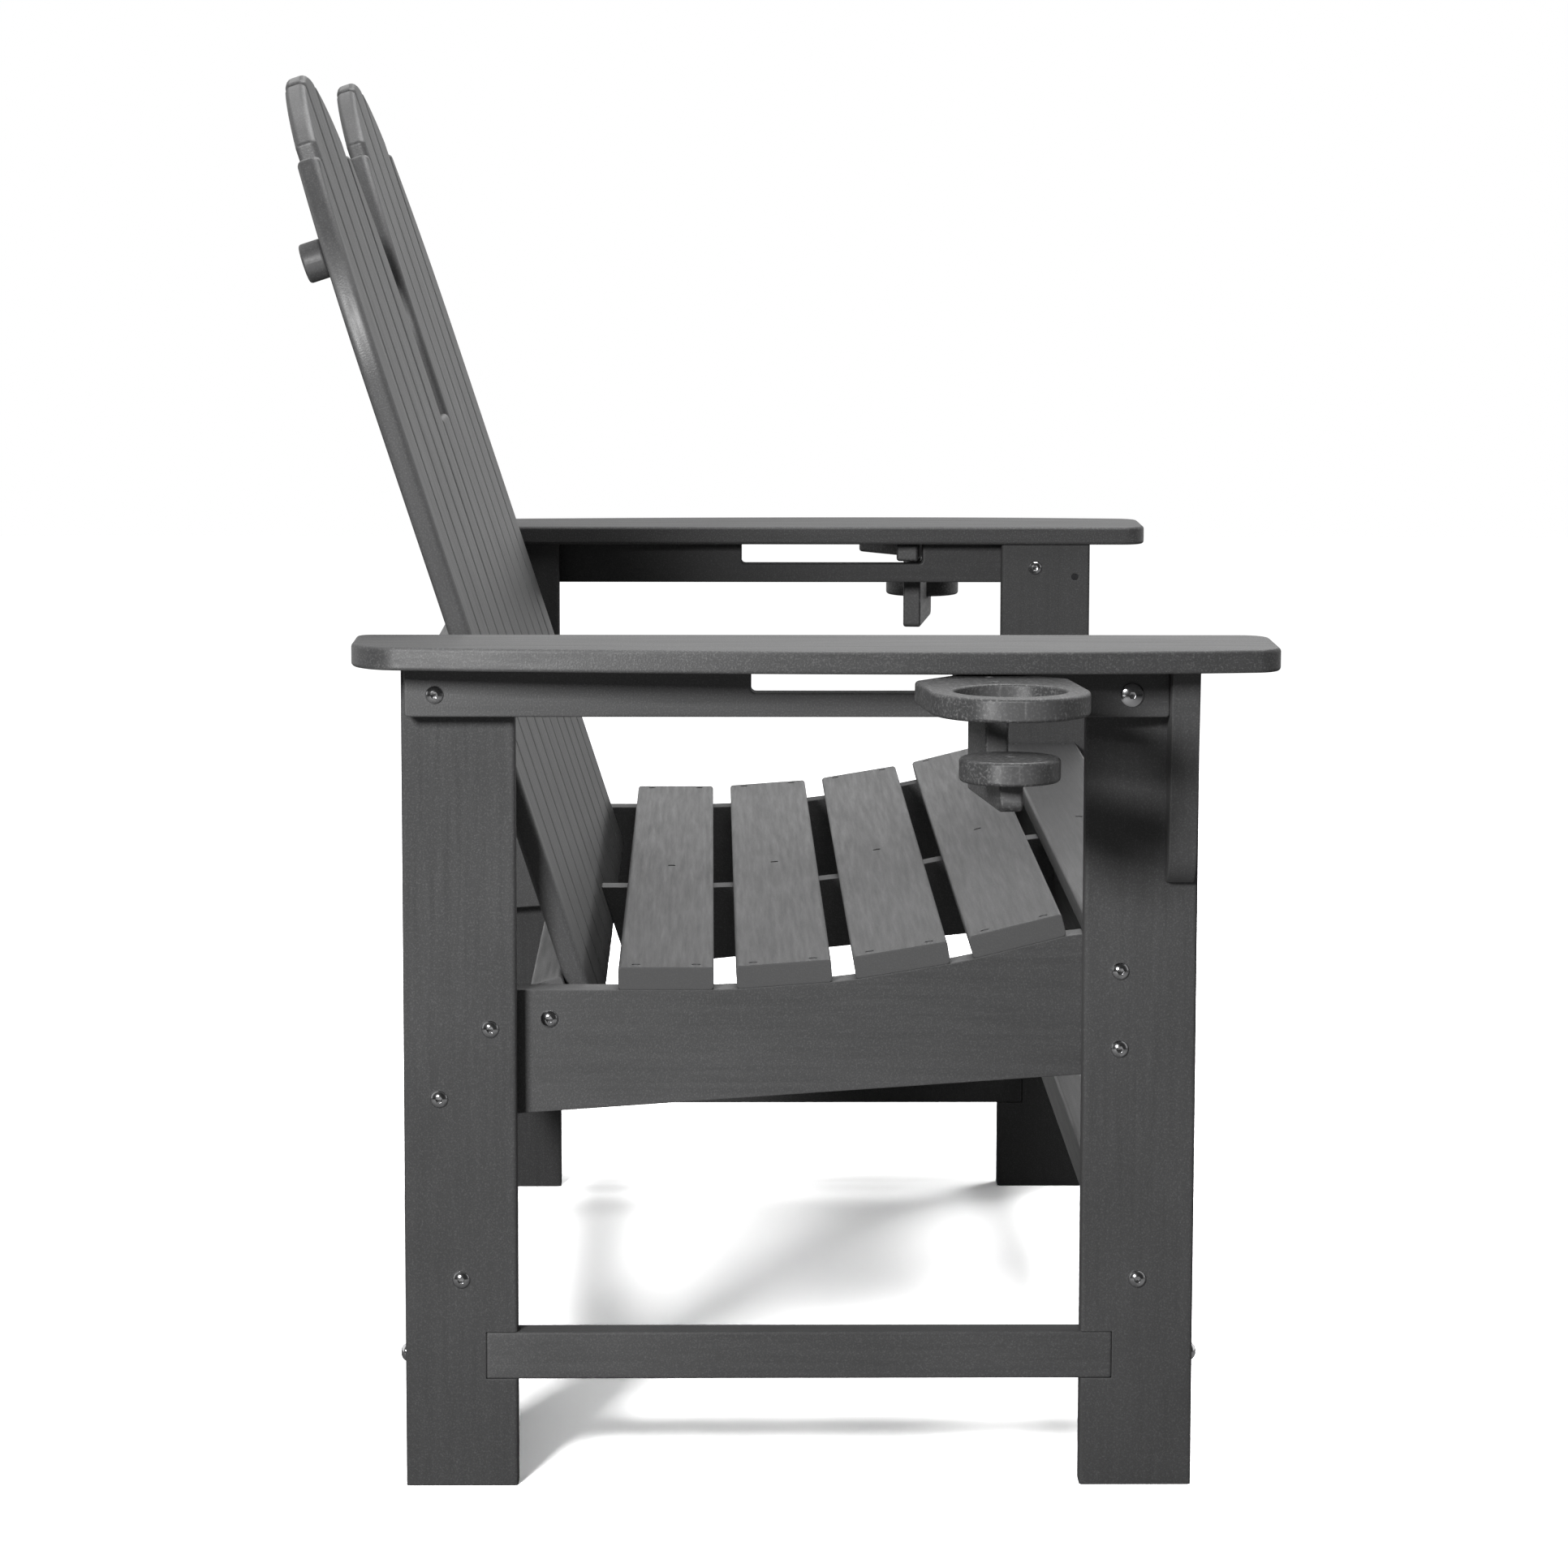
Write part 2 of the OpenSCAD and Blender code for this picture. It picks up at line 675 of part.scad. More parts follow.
module back_rail_lower() {
    color(lumber)
        difference() {
            on_back()
                translate([0, back_t, 0]) cross_board(stringer_in, frame_t, low_rail_h);
            for (i = [0 : back_n - 1])
                thick_screw_places(i) screw_hole(thick_screw_l);
            both() lower_rail_bolt_place() bolt_hole(frame_t + end_bite);
            end_screw_places() screw_hole(end_screw_l);
        }
}

module back_rail_middle() {
    color(lumber)
        difference() {
            on_back()
                translate([0, back_t, mid_rail_top - mid_rail_h])
                    cross_board(leg_in, frame_t, mid_rail_h);
            for (i = [0 : back_n - 1])
                thick_screw_places(i) screw_hole(thick_screw_l);
            both() arm_joint_place() bolt_hole(apron_t + frame_t + end_bite);
        }
}

module back_rail_upper() {
    straight_half = back_half - top_rail_inset - top_rail_h / 2;
    color(lumber)
        difference() {
            on_back()
                translate([0, back_t + top_rail_t, top_rail_mid])
                    rotate([90, 0, 0])
                        linear_extrude(top_rail_t) {
                            square([2 * straight_half, top_rail_h], center = true);
                            for (s = [-1, 1])
                                translate([s * straight_half, 0]) circle(d = top_rail_h);
                        }
            for (i = [0 : back_n - 1])
                thin_screw_places(i) screw_hole(thin_screw_l);
        }
}

// Outline of the right arm: its outer edge is two large arcs that meet where the arm is widest
module arm_2d() {
    rear_l = arm_wide_f + arm_rear;
    front_f = frame_d + arm_front;
    front_l = front_f - arm_wide_f;
    rear_r = (rear_l * rear_l + arm_rear_bow * arm_rear_bow) / (2 * arm_rear_bow);
    front_r = (front_l * front_l + arm_front_bow * arm_front_bow) / (2 * arm_front_bow);
    // The corner arcs touch the large arcs at these angles
    rear_a = -asin((rear_l - arm_rear_corner) / (rear_r - arm_rear_corner));
    front_a = asin((front_l - arm_corner) / (front_r - arm_corner));
    rear_c = [arm_out - rear_r, arm_wide_f];
    front_c = [arm_out - front_r, arm_wide_f];
    inner_u = -arm_in;
    polygon(concat(
        arc(front_c, front_r, 0, front_a),
        arc(front_c + (front_r - arm_corner) * dir(front_a), arm_corner, front_a, 90),
        arc([inner_u + arm_corner, front_f - arm_corner], arm_corner, 90, 180),
        arc([inner_u + arm_inner_corner, arm_inner_corner - arm_rear], arm_inner_corner, 180, 270),
        arc(rear_c + (rear_r - arm_rear_corner) * dir(rear_a), arm_rear_corner, -90, rear_a),
        arc(rear_c, rear_r, rear_a, 0)
    ));
}

module arm_right() {
    color(lumber)
        difference() {
            plan_board(leg_h, slat_t) arm_2d();
            arm_screw_places() screw_hole(arm_screw_l);
        }
}
module arm_left() { left() arm_right(); }

module arm_apron_right() {
    color(lumber)
        difference() {
            side_board(-half_w - apron_t, apron_t)
                difference() {
                    translate([apron_rear_inset, apron_low]) square([apron_len, apron_h]);
                    translate([slot_f, leg_h - slot_h]) round_rect(slot_len, 2 * slot_h, slot_corner);
                }
            arm_joint_place() bolt_hole(long_bolt_l);
            apron_bolt_place() bolt_hole(long_bolt_l);
            apron_bolt_place()
                translate([0, 0, frame_t + apron_t - nut_sleeve_l - fit])
                    cylinder(d = bolt_d + 2 * nut_wall + 2 * fit, h = nut_sleeve_l + over);
            arm_screw_places() screw_hole(arm_screw_l);
            arm_screw_places() cylinder(d = screw_head_d + 2 * fit, h = arm_screw_sink + over);
        }
}
module arm_apron_left() { left() arm_apron_right(); }

module arm_bracket_right() {
    low = leg_h - corbel_h;
    color(lumber)
        difference() {
            translate([-half_w, fy(corbel_mid_f - corbel_t / 2), 0])
                rotate([90, 0, 180])
                    mirror([0, 0, 1])
                        linear_extrude(corbel_t) {
                            polygon([[0, low + corbel_foot], [corbel_foot, low + corbel_foot],
                                     [corbel_top, leg_h], [0, leg_h]]);
                            intersection() {
                                translate([0, low]) square(corbel_foot);
                                translate([0, low + corbel_foot]) circle(corbel_foot);
                            }
                        }
            bracket_screw_places() screw_hole(bracket_screw_l);
        }
}
module arm_bracket_left() { left() arm_bracket_right(); }

module side_stretcher_right() {
    color(lumber)
        difference() {
            translate([-half_w, fy(front_leg_f + notch_d), side_stretcher_low])
                cube([frame_t, front_leg_f + 2 * notch_d - leg_w, stretcher_h]);
            side_bolt_places() bolt_hole(side_bolt_l);
        }
}
module side_stretcher_left() { left() side_stretcher_right(); }

module cross_stretcher(f) {
    color(lumber)
        difference() {
            translate([0, fy(f + frame_t / 2), cross_stretcher_low])
                cross_board(leg_in, frame_t, stretcher_h);
            both() cross_bolt_places() bolt_hole(frame_t + end_bite);
        }
}
module cross_stretcher_rear() { cross_stretcher(leg_w / 2); }
module cross_stretcher_front() { cross_stretcher(frame_d - leg_w / 2); }

// The right cup holder's frame: x outward along its own axis from the leg's face, y forward
module on_cup() {
    translate([-half_w, fy(cup_f), 0])
        rotate([0, 0, 180 + cup_yaw]) children();
}

module ring_screw_places() {
    on_cup()
        for (back = [ring_screw_near, ring_screw_far])
            translate([neck_l - back, 0, ring_z + slat_t]) children();
}
module base_screw_place() {
    on_cup()
        translate([cup_l, 0, base_top_z]) children();
}

module cup_ring_right() {
    taper = cup_r - tongue_w / 2;
    color(lumber)
        difference() {
            on_cup()
                translate([0, 0, ring_z])
                    linear_extrude(slat_t)
                        difference() {
                            union() {
                                translate([cup_l, 0]) circle(cup_r, $fn = fine_fn);
                                translate([taper_l, -cup_r]) square([cup_side, 2 * cup_r]);
                                polygon([[taper_l, cup_r], [taper_l - taper, tongue_w / 2],
                                         [-tongue_past, tongue_w / 2], [-tongue_past, -tongue_w / 2],
                                         [taper_l - taper, -tongue_w / 2], [taper_l, -cup_r]]);
                            }
                            translate([cup_l, 0]) circle(cup_hole_r, $fn = fine_fn);
                        }
            ring_screw_places() screw_hole(ring_screw_l);
        }
}
module cup_ring_left() { left() cup_ring_right(); }

module cup_hanger_right() {
    color(lumber)
        difference() {
            on_cup()
                translate([0, slat_t / 2, 0])
                    rotate([90, 0, 0])
                        linear_extrude(slat_t)
                            polygon([[hanger_in, hanger_top_z - hanger_foot_h],
                                     [cup_l + hanger_past, hanger_top_z - hanger_foot_h],
                                     [cup_l + hanger_past, hanger_top_z],
                                     [neck_l, hanger_top_z], [neck_l, ring_z],
                                     [hanger_in, ring_z]]);
            ring_screw_places() screw_hole(ring_screw_l);
            base_screw_place() screw_hole(base_screw_l);
        }
}
module cup_hanger_left() { left() cup_hanger_right(); }

module cup_base_right() {
    color(lumber)
        difference() {
            on_cup()
                translate([cup_l, 0, hanger_top_z])
                    cylinder(r = base_r, h = slat_t, $fn = fine_fn);
            base_screw_place() screw_hole(base_screw_l);
        }
}
module cup_base_left() { left() cup_base_right(); }

module cup_screws_right() {
    color(steel) {
        ring_screw_places() screw(ring_screw_l);
        base_screw_place() screw(base_screw_l);
    }
}
module cup_screws_left() { left() cup_screws_right(); }

module stringer_bolts() {
    color(steel)
        both() {
            rear_bolt_places() bolt(2 * frame_t);
            front_bolt_places() bolt(long_bolt_l);
        }
}
module stretcher_bolts() {
    color(steel)
        both() cross_bolt_places() bolt(frame_t + end_bite);
}
module side_stretcher_bolts() {
    color(steel)
        both() side_bolt_places() bolt(side_bolt_l);
}
module lower_rail_bolts() {
    color(steel)
        both() lower_rail_bolt_place() bolt(frame_t + end_bite);
}
module arm_joint_bolts() {
    color(steel)
        both() arm_joint_place() bolt(apron_t + frame_t + end_bite);
}
module apron_front_bolts() {
    color(steel)
        both() apron_bolt_place() bolt(apron_bolt_l);
}

// Sleeve nuts whose wide domed heads lie on the outer faces of the aprons
module apron_front_nuts() {
    color(steel)
        both()
            apron_bolt_place()
                translate([0, 0, frame_t + apron_t])
                    difference() {
                        union() {
                            domed_head(nut_head_d, nut_head_h, nut_rim_h);
                            translate([0, 0, -nut_sleeve_l])
                                cylinder(d = bolt_d + 2 * nut_wall, h = nut_sleeve_l);
                        }
                        translate([0, 0, -nut_sleeve_l - over])
                            cylinder(d = bolt_d + 2 * fit, h = nut_sleeve_l + over - nut_wall);
                        hex_socket(nut_head_h, nut_head_h - nut_rim_h);
                    }
}

module bracket_screws() {
    color(steel)
        both() bracket_screw_places() screw(bracket_screw_l);
}
module arm_screws() {
    color(steel)
        both() arm_screw_places() screw(arm_screw_l);
}
module seat_screws() {
    color(steel)
        for (i = [0 : seat_n - 1])
            seat_screw_places(i) screw(seat_screw_l);
}
module back_screws() {
    color(steel)
        for (i = [0 : back_n - 1]) {
            thick_screw_places(i) screw(thick_screw_l);
            thin_screw_places(i) screw(thin_screw_l);
        }
}
module middle_stringer_screws() {
    color(steel) {
        end_screw_places() screw(end_screw_l);
        lap_screw_place() screw(lap_screw_l);
    }
}

leg_front_right();
leg_rear_right();
leg_front_left();
leg_rear_left();
seat_stringer_right();
seat_stringer_middle();
seat_stringer_left();
seat_front_rail();
seat_slat_1();
seat_slat_2();
seat_slat_3();
seat_slat_4();
seat_slat_5();
back_slat_01();
back_slat_02();
back_slat_03();
back_slat_04();
back_slat_05();
back_slat_06();
back_slat_07();
back_slat_08();
back_slat_09();
back_slat_10();
back_slat_11();
back_rail_lower();
back_rail_middle();
back_rail_upper();
arm_right();
arm_left();
arm_apron_right();
arm_apron_left();
arm_bracket_right();
arm_bracket_left();
side_stretcher_right();
side_stretcher_left();
cross_stretcher_front();
cross_stretcher_rear();
cup_ring_right();
cup_ring_left();
cup_hanger_right();
cup_hanger_left();
cup_base_right();
cup_base_left();
cup_screws_right();
cup_screws_left();
stringer_bolts();
stretcher_bolts();
side_stretcher_bolts();
lower_rail_bolts();
arm_joint_bolts();
apron_front_bolts();
apron_front_nuts();
bracket_screws();
arm_screws();
seat_screws();
back_screws();
middle_stringer_screws();
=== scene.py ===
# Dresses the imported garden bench: recycled plastic lumber, steel fasteners, a white studio.
# Metres. The bench stands on z = 0, faces -Y, and its right side is at -X.
import math
import types
import bpy
import numpy as np
from mathutils import Matrix, Vector
from mathutils.geometry import tessellate_polygon


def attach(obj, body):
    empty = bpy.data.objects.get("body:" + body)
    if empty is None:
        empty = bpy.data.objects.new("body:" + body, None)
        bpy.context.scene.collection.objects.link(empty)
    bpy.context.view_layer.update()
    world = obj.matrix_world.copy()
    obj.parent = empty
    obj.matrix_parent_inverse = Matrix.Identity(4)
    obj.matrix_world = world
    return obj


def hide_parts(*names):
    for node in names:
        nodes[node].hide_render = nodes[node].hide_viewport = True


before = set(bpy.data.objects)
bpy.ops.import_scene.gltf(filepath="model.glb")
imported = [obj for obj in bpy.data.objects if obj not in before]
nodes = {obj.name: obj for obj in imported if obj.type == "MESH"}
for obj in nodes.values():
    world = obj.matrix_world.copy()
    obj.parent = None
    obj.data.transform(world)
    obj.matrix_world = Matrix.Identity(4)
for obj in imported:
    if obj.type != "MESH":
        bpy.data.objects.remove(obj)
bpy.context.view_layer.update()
print("frame loaded:", len(nodes), "nodes")

# The bench's own sizes in millimetres, as its source has them.
mm = dict(
    frameW=1173.0, frameD=626.0, legH=661.0, legW=89.0, frameT=27.0, slatT=18.0,
    seatH=396.5, seatBackGap=24.9, seatFrontInset=12.4, seatGap=17.2,
    stringerRearH=105.5, stringerFrontH=108.0, stringerRearInset=8.0,
    railDrop=12.0, railLift=7.0, railInset=28.5,
    footGap=67.0, footDrop=36.5, topF=57.4, sideGap=15.5, backGap=5.5, backT=18.0,
    backLen=799.0, capR=198.0, shoulderDrop=70.0, sideDrop=254.0, sideR=328.0, midSlatDrop=313.0,
    lowRailH=51.0, midRailH=38.0, topRailH=32.0, topRailT=18.0, topRailDrop=149.0, topRailInset=24.0,
    armRear=36.0, armFront=55.5, armIn=34.0, armOut=99.0, armRearBow=33.0, armFrontBow=18.0,
    armWideF=450.0, armCorner=22.0, armRearCorner=42.0, armInnerCorner=12.0,
    apronT=24.0, apronH=41.0, apronRearInset=4.0, slotLen=184.0, slotFrontInset=168.0,
    corbelT=22.0, corbelH=174.0, corbelTop=46.0, corbelFoot=30.0, corbelInset=4.0,
    stretcherH=38.0, sideLow=87.0, crossLow=149.0, notchD=25.0,
    cupOut=190.0, cupR=60.0, cupHoleR=42.5, cupSide=77.0, tongueW=22.0,
    baseR=38.0, baseDrop=32.0, hangerFootH=23.0, hangerPast=9.0, hangerNeck=53.0, hangerIn=59.0,
    tongueLift=2.8, tonguePlay=1.6, tongueGap=1.8, tonguePast=2.0,
    boltD=8.0, headD=14.0, headH=4.4, headRim=1.0, socketW=5.0, socketD=2.8, endBite=42.0,
    boltEndGap=2.0, nutD=18.4, nutH=3.0, nutRim=1.0, nutWall=1.2, nutSleeveL=16.0,
    railBoltEdge=9.5, apronBoltInset=55.5, screwHeadR=3.6, ringScrewNear=7.0, ringScrewFar=40.0,
    # how far the edges and the corners of the boards are rounded
    armEdge=3.0, apronEdge=1.5, apronCorner=3.0, slotCorner=4.0, bracketEdge=1.2,
    stringerEdge=0.6, stringerCorner=3.0, stretcherEdge=2.0, backEdge=5.5, slatCorner=4.0, capCorner=5.0,
    topRailEdge=2.5, ringEdge=3.0, ringHoleEdge=2.2, screwHoleEdge=0.4,
    tongueCorner=3.0, neckCorner=8.0, flankCorner=10.0,
    hangerEdge=2.5, hangerCorner=3.0, hangerToeCorner=4.0, hangerNoseCorner=8.0,
    hair=0.01,                                                     # keeps two arcs from meeting in a point
    socketLip=0.18, socketLipDrop=0.2, socketDip=0.3,
)
z = types.SimpleNamespace(**{key: value / 1000 for key, value in mm.items()})
seatSlopes = np.radians([0, 4.2, 9.5, 14, 0])
cupYaw = math.radians(7)
rearBoltShares = ((0.77, 0.254), (0.315, 0.785))    # of the leg's width and the stringer's height
frontBoltShare = 0.35                               # of the front rail's height
arcSteps = 24
footSteps = 20
ringSteps = 96
screwHoleSteps = 20
halfW = z.frameW / 2
legIn = halfW - z.frameT
stringerIn = legIn - z.frameT
frontLegF = z.frameD - z.legW
backFootF = z.legW + z.footGap
backFootH = z.seatH - z.footDrop
lean = math.atan((backFootF - z.topF) / (z.legH - backFootH))    # of the back, from upright
midF = (z.frameD + z.armFront + backFootF - z.backLen * math.sin(lean) - z.backT * math.cos(lean)) / 2
slatW = (2 * (stringerIn - z.sideGap) - 10 * z.backGap) / 11
pitch = slatW + z.backGap
archHalf = 2 * pitch + slatW / 2
shoulder = z.backLen - z.shoulderDrop
sideStart = z.backLen - z.sideDrop
slotH = z.slatT + z.tongueLift + z.tonguePlay
slotF = z.frameD - z.slotFrontInset - z.slotLen
ringZ = z.legH - z.slatT - z.tonguePlay
diskTopZ = ringZ - z.baseDrop
hangerTopZ = diskTopZ - z.slatT
cupL = z.cupOut / math.cos(cupYaw)
cupF = (slotF + z.slotLen - z.tongueGap - z.tongueW / 2 / math.cos(cupYaw) - z.apronT * math.tan(cupYaw))
corbelMidF = z.frameD - z.corbelInset - z.corbelT / 2

# The camera stands where the photo's did, beyond the right arm.
shot = {
    "place": (-4.44906, 0.04334, 1.06352),
    "yaw": 0.0148578,      # radians off +X, toward the front of the bench
    "pitch": 0.1284470,    # radians below the horizon
    "roll": -0.0021052,
    "lens": 114.04,
    "sensor": 36.0,
}


def makeCamera(s):
    # looks along +X turned by yaw and tipped by pitch, then rolled about its own axis
    cy, sy = math.cos(s["yaw"]), math.sin(s["yaw"])
    cp, sp = math.cos(s["pitch"]), math.sin(s["pitch"])
    ahead = Vector((cy * cp, -sy * cp, -sp))
    side = Vector((-sy, -cy, 0.0))
    below = ahead.cross(side)
    cr, sr = math.cos(s["roll"]), math.sin(s["roll"])
    right = side * cr + below * sr
    down = below * cr - side * sr
    turn = Matrix((right, -down, -ahead)).transposed().to_4x4()
    data = bpy.data.cameras.new("photoCamera")
    data.sensor_width = s["sensor"]
    data.lens = s["lens"]
    data.clip_start, data.clip_end = 0.05, 60.0
    cam = bpy.data.objects.new("photoCamera", data)
    bpy.context.scene.collection.objects.link(cam)
    cam.matrix_world = Matrix.Translation(s["place"]) @ turn
    return cam


bpy.context.scene.camera = makeCamera(shot)

# White paper, a white backdrop and three lamps.
studio = {
    "worldDiffuse": 0.0,
    "roomGloss": 0.035,           # how bright the room behind the camera looks in reflections
    "roomFade": (-0.45, 0.35),    # directions along X over which it turns into the white backdrop
    "floorHalf": 9.0,
    "floorColour": (0.30, 0.30, 0.30),
    "floorSeen": (5.0, 5.0, 5.0),    # the paper's colour to the camera, so that it meets the white backdrop
    "floorNear": 0.95,               # from here to there the floor turns plain white to the camera
    "floorFar": 2.2,
}
lamps = {       # place, aim, size, watts, and whether the gloss shows the lamp
    "key": ((-2.75, 0.95, 1.45), (-0.45, -0.05, 0.45), 0.48, 57.0, True),
    "top": ((0.30, -0.50, 2.9), (0.0, 0.0, 0.5), 1.8, 45.0, True),
    # beyond the bench, so that the front and the left side aren't black
    "fill": ((2.6, -2.6, 1.7), (0.0, 0.0, 0.6), 1.6, 30.0, False),
}
colourMix = (6, 7, 2)    # the colour inputs and output of a mix node


def maker(tree):
    def make(kind, **settings):
        node = tree.nodes.new("ShaderNode" + kind)
        for key, value in settings.items():
            setattr(node, key, value)
        return node
    return make


def link(tree, a, outName, b, inName):
    tree.links.new(a.outputs[outName], b.inputs[inName])


def makeWorld(s):
    # white to the camera, dim as a lamp; in the gloss it is dark behind the camera and white beyond the bench
    world = bpy.data.worlds.new("studioWorld")
    bpy.context.scene.world = world
    world.use_nodes = True
    tree = world.node_tree
    tree.nodes.clear()
    make = maker(tree)
    out = make("OutputWorld")
    path = make("LightPath")
    addGloss = make("Math", operation="ADD")
    addGlass = make("Math", operation="ADD", use_clamp=True)
    lamp, white = make("Background"), make("Background")
    for background in (lamp, white):
        background.inputs["Color"].default_value = (1, 1, 1, 1)
    lamp.inputs["Strength"].default_value = s["worldDiffuse"]
    coord = make("TexCoord")
    split = make("SeparateXYZ")
    room = make("MapRange", interpolation_type="SMOOTHSTEP")
    room.inputs["From Min"].default_value, room.inputs["From Max"].default_value = s["roomFade"]
    room.inputs["To Min"].default_value = s["roomGloss"]
    shown = make("Math", operation="MAXIMUM")
    mix = make("MixShader")
    link(tree, coord, "Generated", split, 0)
    link(tree, split, "X", room, "Value")
    link(tree, room, 0, shown, 0)
    link(tree, path, "Is Camera Ray", shown, 1)
    link(tree, shown, 0, white, "Strength")
    link(tree, path, "Is Camera Ray", addGloss, 0)
    link(tree, path, "Is Glossy Ray", addGloss, 1)
    link(tree, addGloss, 0, addGlass, 0)
    link(tree, path, "Is Transmission Ray", addGlass, 1)
    link(tree, addGlass, 0, mix, 0)
    link(tree, lamp, 0, mix, 1)
    link(tree, white, 0, mix, 2)
    link(tree, mix, 0, out, 0)


def makeFloor(s):
    # a flat floor of grey paper, brighter to the camera, which glows white away from the bench
    h = s["floorHalf"]
    mesh = bpy.data.meshes.new("studioFloor")
    mesh.from_pydata([(-h, -h, 0), (h, -h, 0), (h, h, 0), (-h, h, 0)], [], [(0, 1, 2, 3)])
    floor = bpy.data.objects.new("studioFloor", mesh)
    bpy.context.scene.collection.objects.link(floor)
    mat = bpy.data.materials.new("studioPaper")
    mat.use_nodes = True
    tree = mat.node_tree
    tree.nodes.clear()
    make = maker(tree)
    first, second, result = colourMix
    out = make("OutputMaterial")
    path = make("LightPath")
    tint = make("Mix", data_type="RGBA")
    tint.inputs[first].default_value = (*s["floorColour"], 1)
    tint.inputs[second].default_value = (*s["floorSeen"], 1)
    paper = make("BsdfDiffuse")
    coord = make("TexCoord")
    away = make("VectorMath", operation="LENGTH")
    fade = make("MapRange", interpolation_type="SMOOTHSTEP")
    fade.inputs["From Min"].default_value = s["floorNear"]
    fade.inputs["From Max"].default_value = s["floorFar"]
    seen = make("Math", operation="MULTIPLY")
    glow = make("Emission")
    glow.inputs["Color"].default_value = (1, 1, 1, 1)
    both = make("AddShader")
    link(tree, path, "Is Camera Ray", tint, 0)
    link(tree, tint, result, paper, "Color")
    link(tree, coord, "Object", away, 0)
    link(tree, away, "Value", fade, "Value")
    link(tree, path, "Is Camera Ray", seen, 0)
    link(tree, fade, 0, seen, 1)
    link(tree, seen, 0, glow, "Strength")
    link(tree, paper, 0, both, 0)
    link(tree, glow, 0, both, 1)
    link(tree, both, 0, out, 0)
    mesh.materials.append(mat)


def makeLamps(table):
    for name, (place, aim, size, watts, inGloss) in table.items():
        data = bpy.data.lights.new(name + "Light", "AREA")
        data.shape = "RECTANGLE"
        data.size, data.size_y = size, size
        data.energy = watts
        lamp = bpy.data.objects.new(name + "Light", data)
        lamp.visible_glossy = inGloss
        bpy.context.scene.collection.objects.link(lamp)
        turn = (Vector(aim) - Vector(place)).to_track_quat("-Z", "Y").to_matrix().to_4x4()
        lamp.matrix_world = Matrix.Translation(place) @ turn


makeWorld(studio)
makeFloor(studio)
makeLamps(lamps)
bpy.context.scene.view_settings.view_transform = "Standard"
print("studio ready")

lumberLook = {
    "colour": (0.085, 0.085, 0.086),
    "fleckColour": (0.150, 0.150, 0.151),
    # the pale colour of the painted highlights on edges and sawn ends
    "paintedHighlightColour": (0.165, 0.165, 0.166),
    "patchScale": 5.0,
    "shade": 0.12,              # how much broad patches vary
    "fleckScale": 760.0,        # flecks per metre
    "fleckFrom": (0.50, 0.78),  # noise values over which a fleck shows
    "streakScale": 210.0,       # brushed streaks per metre across the grain
    "streakStretch": 0.045,     # their frequency along the grain, against that across it
    "streakShade": 0.07,
    "toneFrom": (0.3, 0.7),     # noise values over which patches and streaks go from dark to pale
    "endFrom": (0.80, 0.98),    # how squarely a sawn end faces along the grain
    "endHighlightShare": 0.55,           # how far sawn ends go towards the painted highlight colour
    # the painted highlight along the edges: the normal agreement over which it shows, its strength and the
    # bevel's radius
    "edgeFrom": (0.995, 0.86),
    "edgeHighlightShare": 0.6,
    "edgeRadius": 0.0016,
    "roughness": 0.50,
    "roughSpread": (0.06, 0.08),
    "specular": 0.60,
    "fleckBump": (0.35, 0.0003),     # strength and distance
    "streakBump": (0.25, 0.0004),
    "sheenStretch": 0.75,
    "sheenNudge": (0.02, 0.03, 0.012),    # gives the sheen of sawn ends a direction too
}
grainTurns = {                     # turns that bring a board's grain onto the pattern's X
    "x": (0.0, 0.0, 0.0),
    "y": (0.0, 0.0, -math.pi / 2),
    "z": (0.0, math.pi / 2, 0.0),
    "back": (lean, math.pi / 2, 0.0),
    "cupRight": (0.0, 0.0, -cupYaw),
    "cupLeft": (0.0, 0.0, cupYaw),
}
grainAxes = {                      # the grain's own direction
    "x": (1, 0, 0),
    "y": (0, 1, 0),
    "z": (0, 0, 1),
    "back": (0, math.sin(lean), math.cos(lean)),
    "cupRight": (math.cos(cupYaw), math.sin(cupYaw), 0),
    "cupLeft": (math.cos(cupYaw), -math.sin(cupYaw), 0),
}


def noiseNode(tree, vector, outName, scale, detail, rough=0.5):
    noise = tree.nodes.new("ShaderNodeTexNoise")
    noise.inputs["Scale"].default_value = scale
    noise.inputs["Detail"].default_value = detail
    noise.inputs["Roughness"].default_value = rough
    link(tree, vector, outName, noise, "Vector")
    return noise


def bumpNode(tree, height, strength, distance, normal=None):
    bump = tree.nodes.new("ShaderNodeBump")
    bump.inputs["Strength"].default_value = strength
    bump.inputs["Distance"].default_value = distance
    link(tree, height, 0, bump, "Height")
    if normal:
        link(tree, normal, "Normal", bump, "Normal")
    return bump


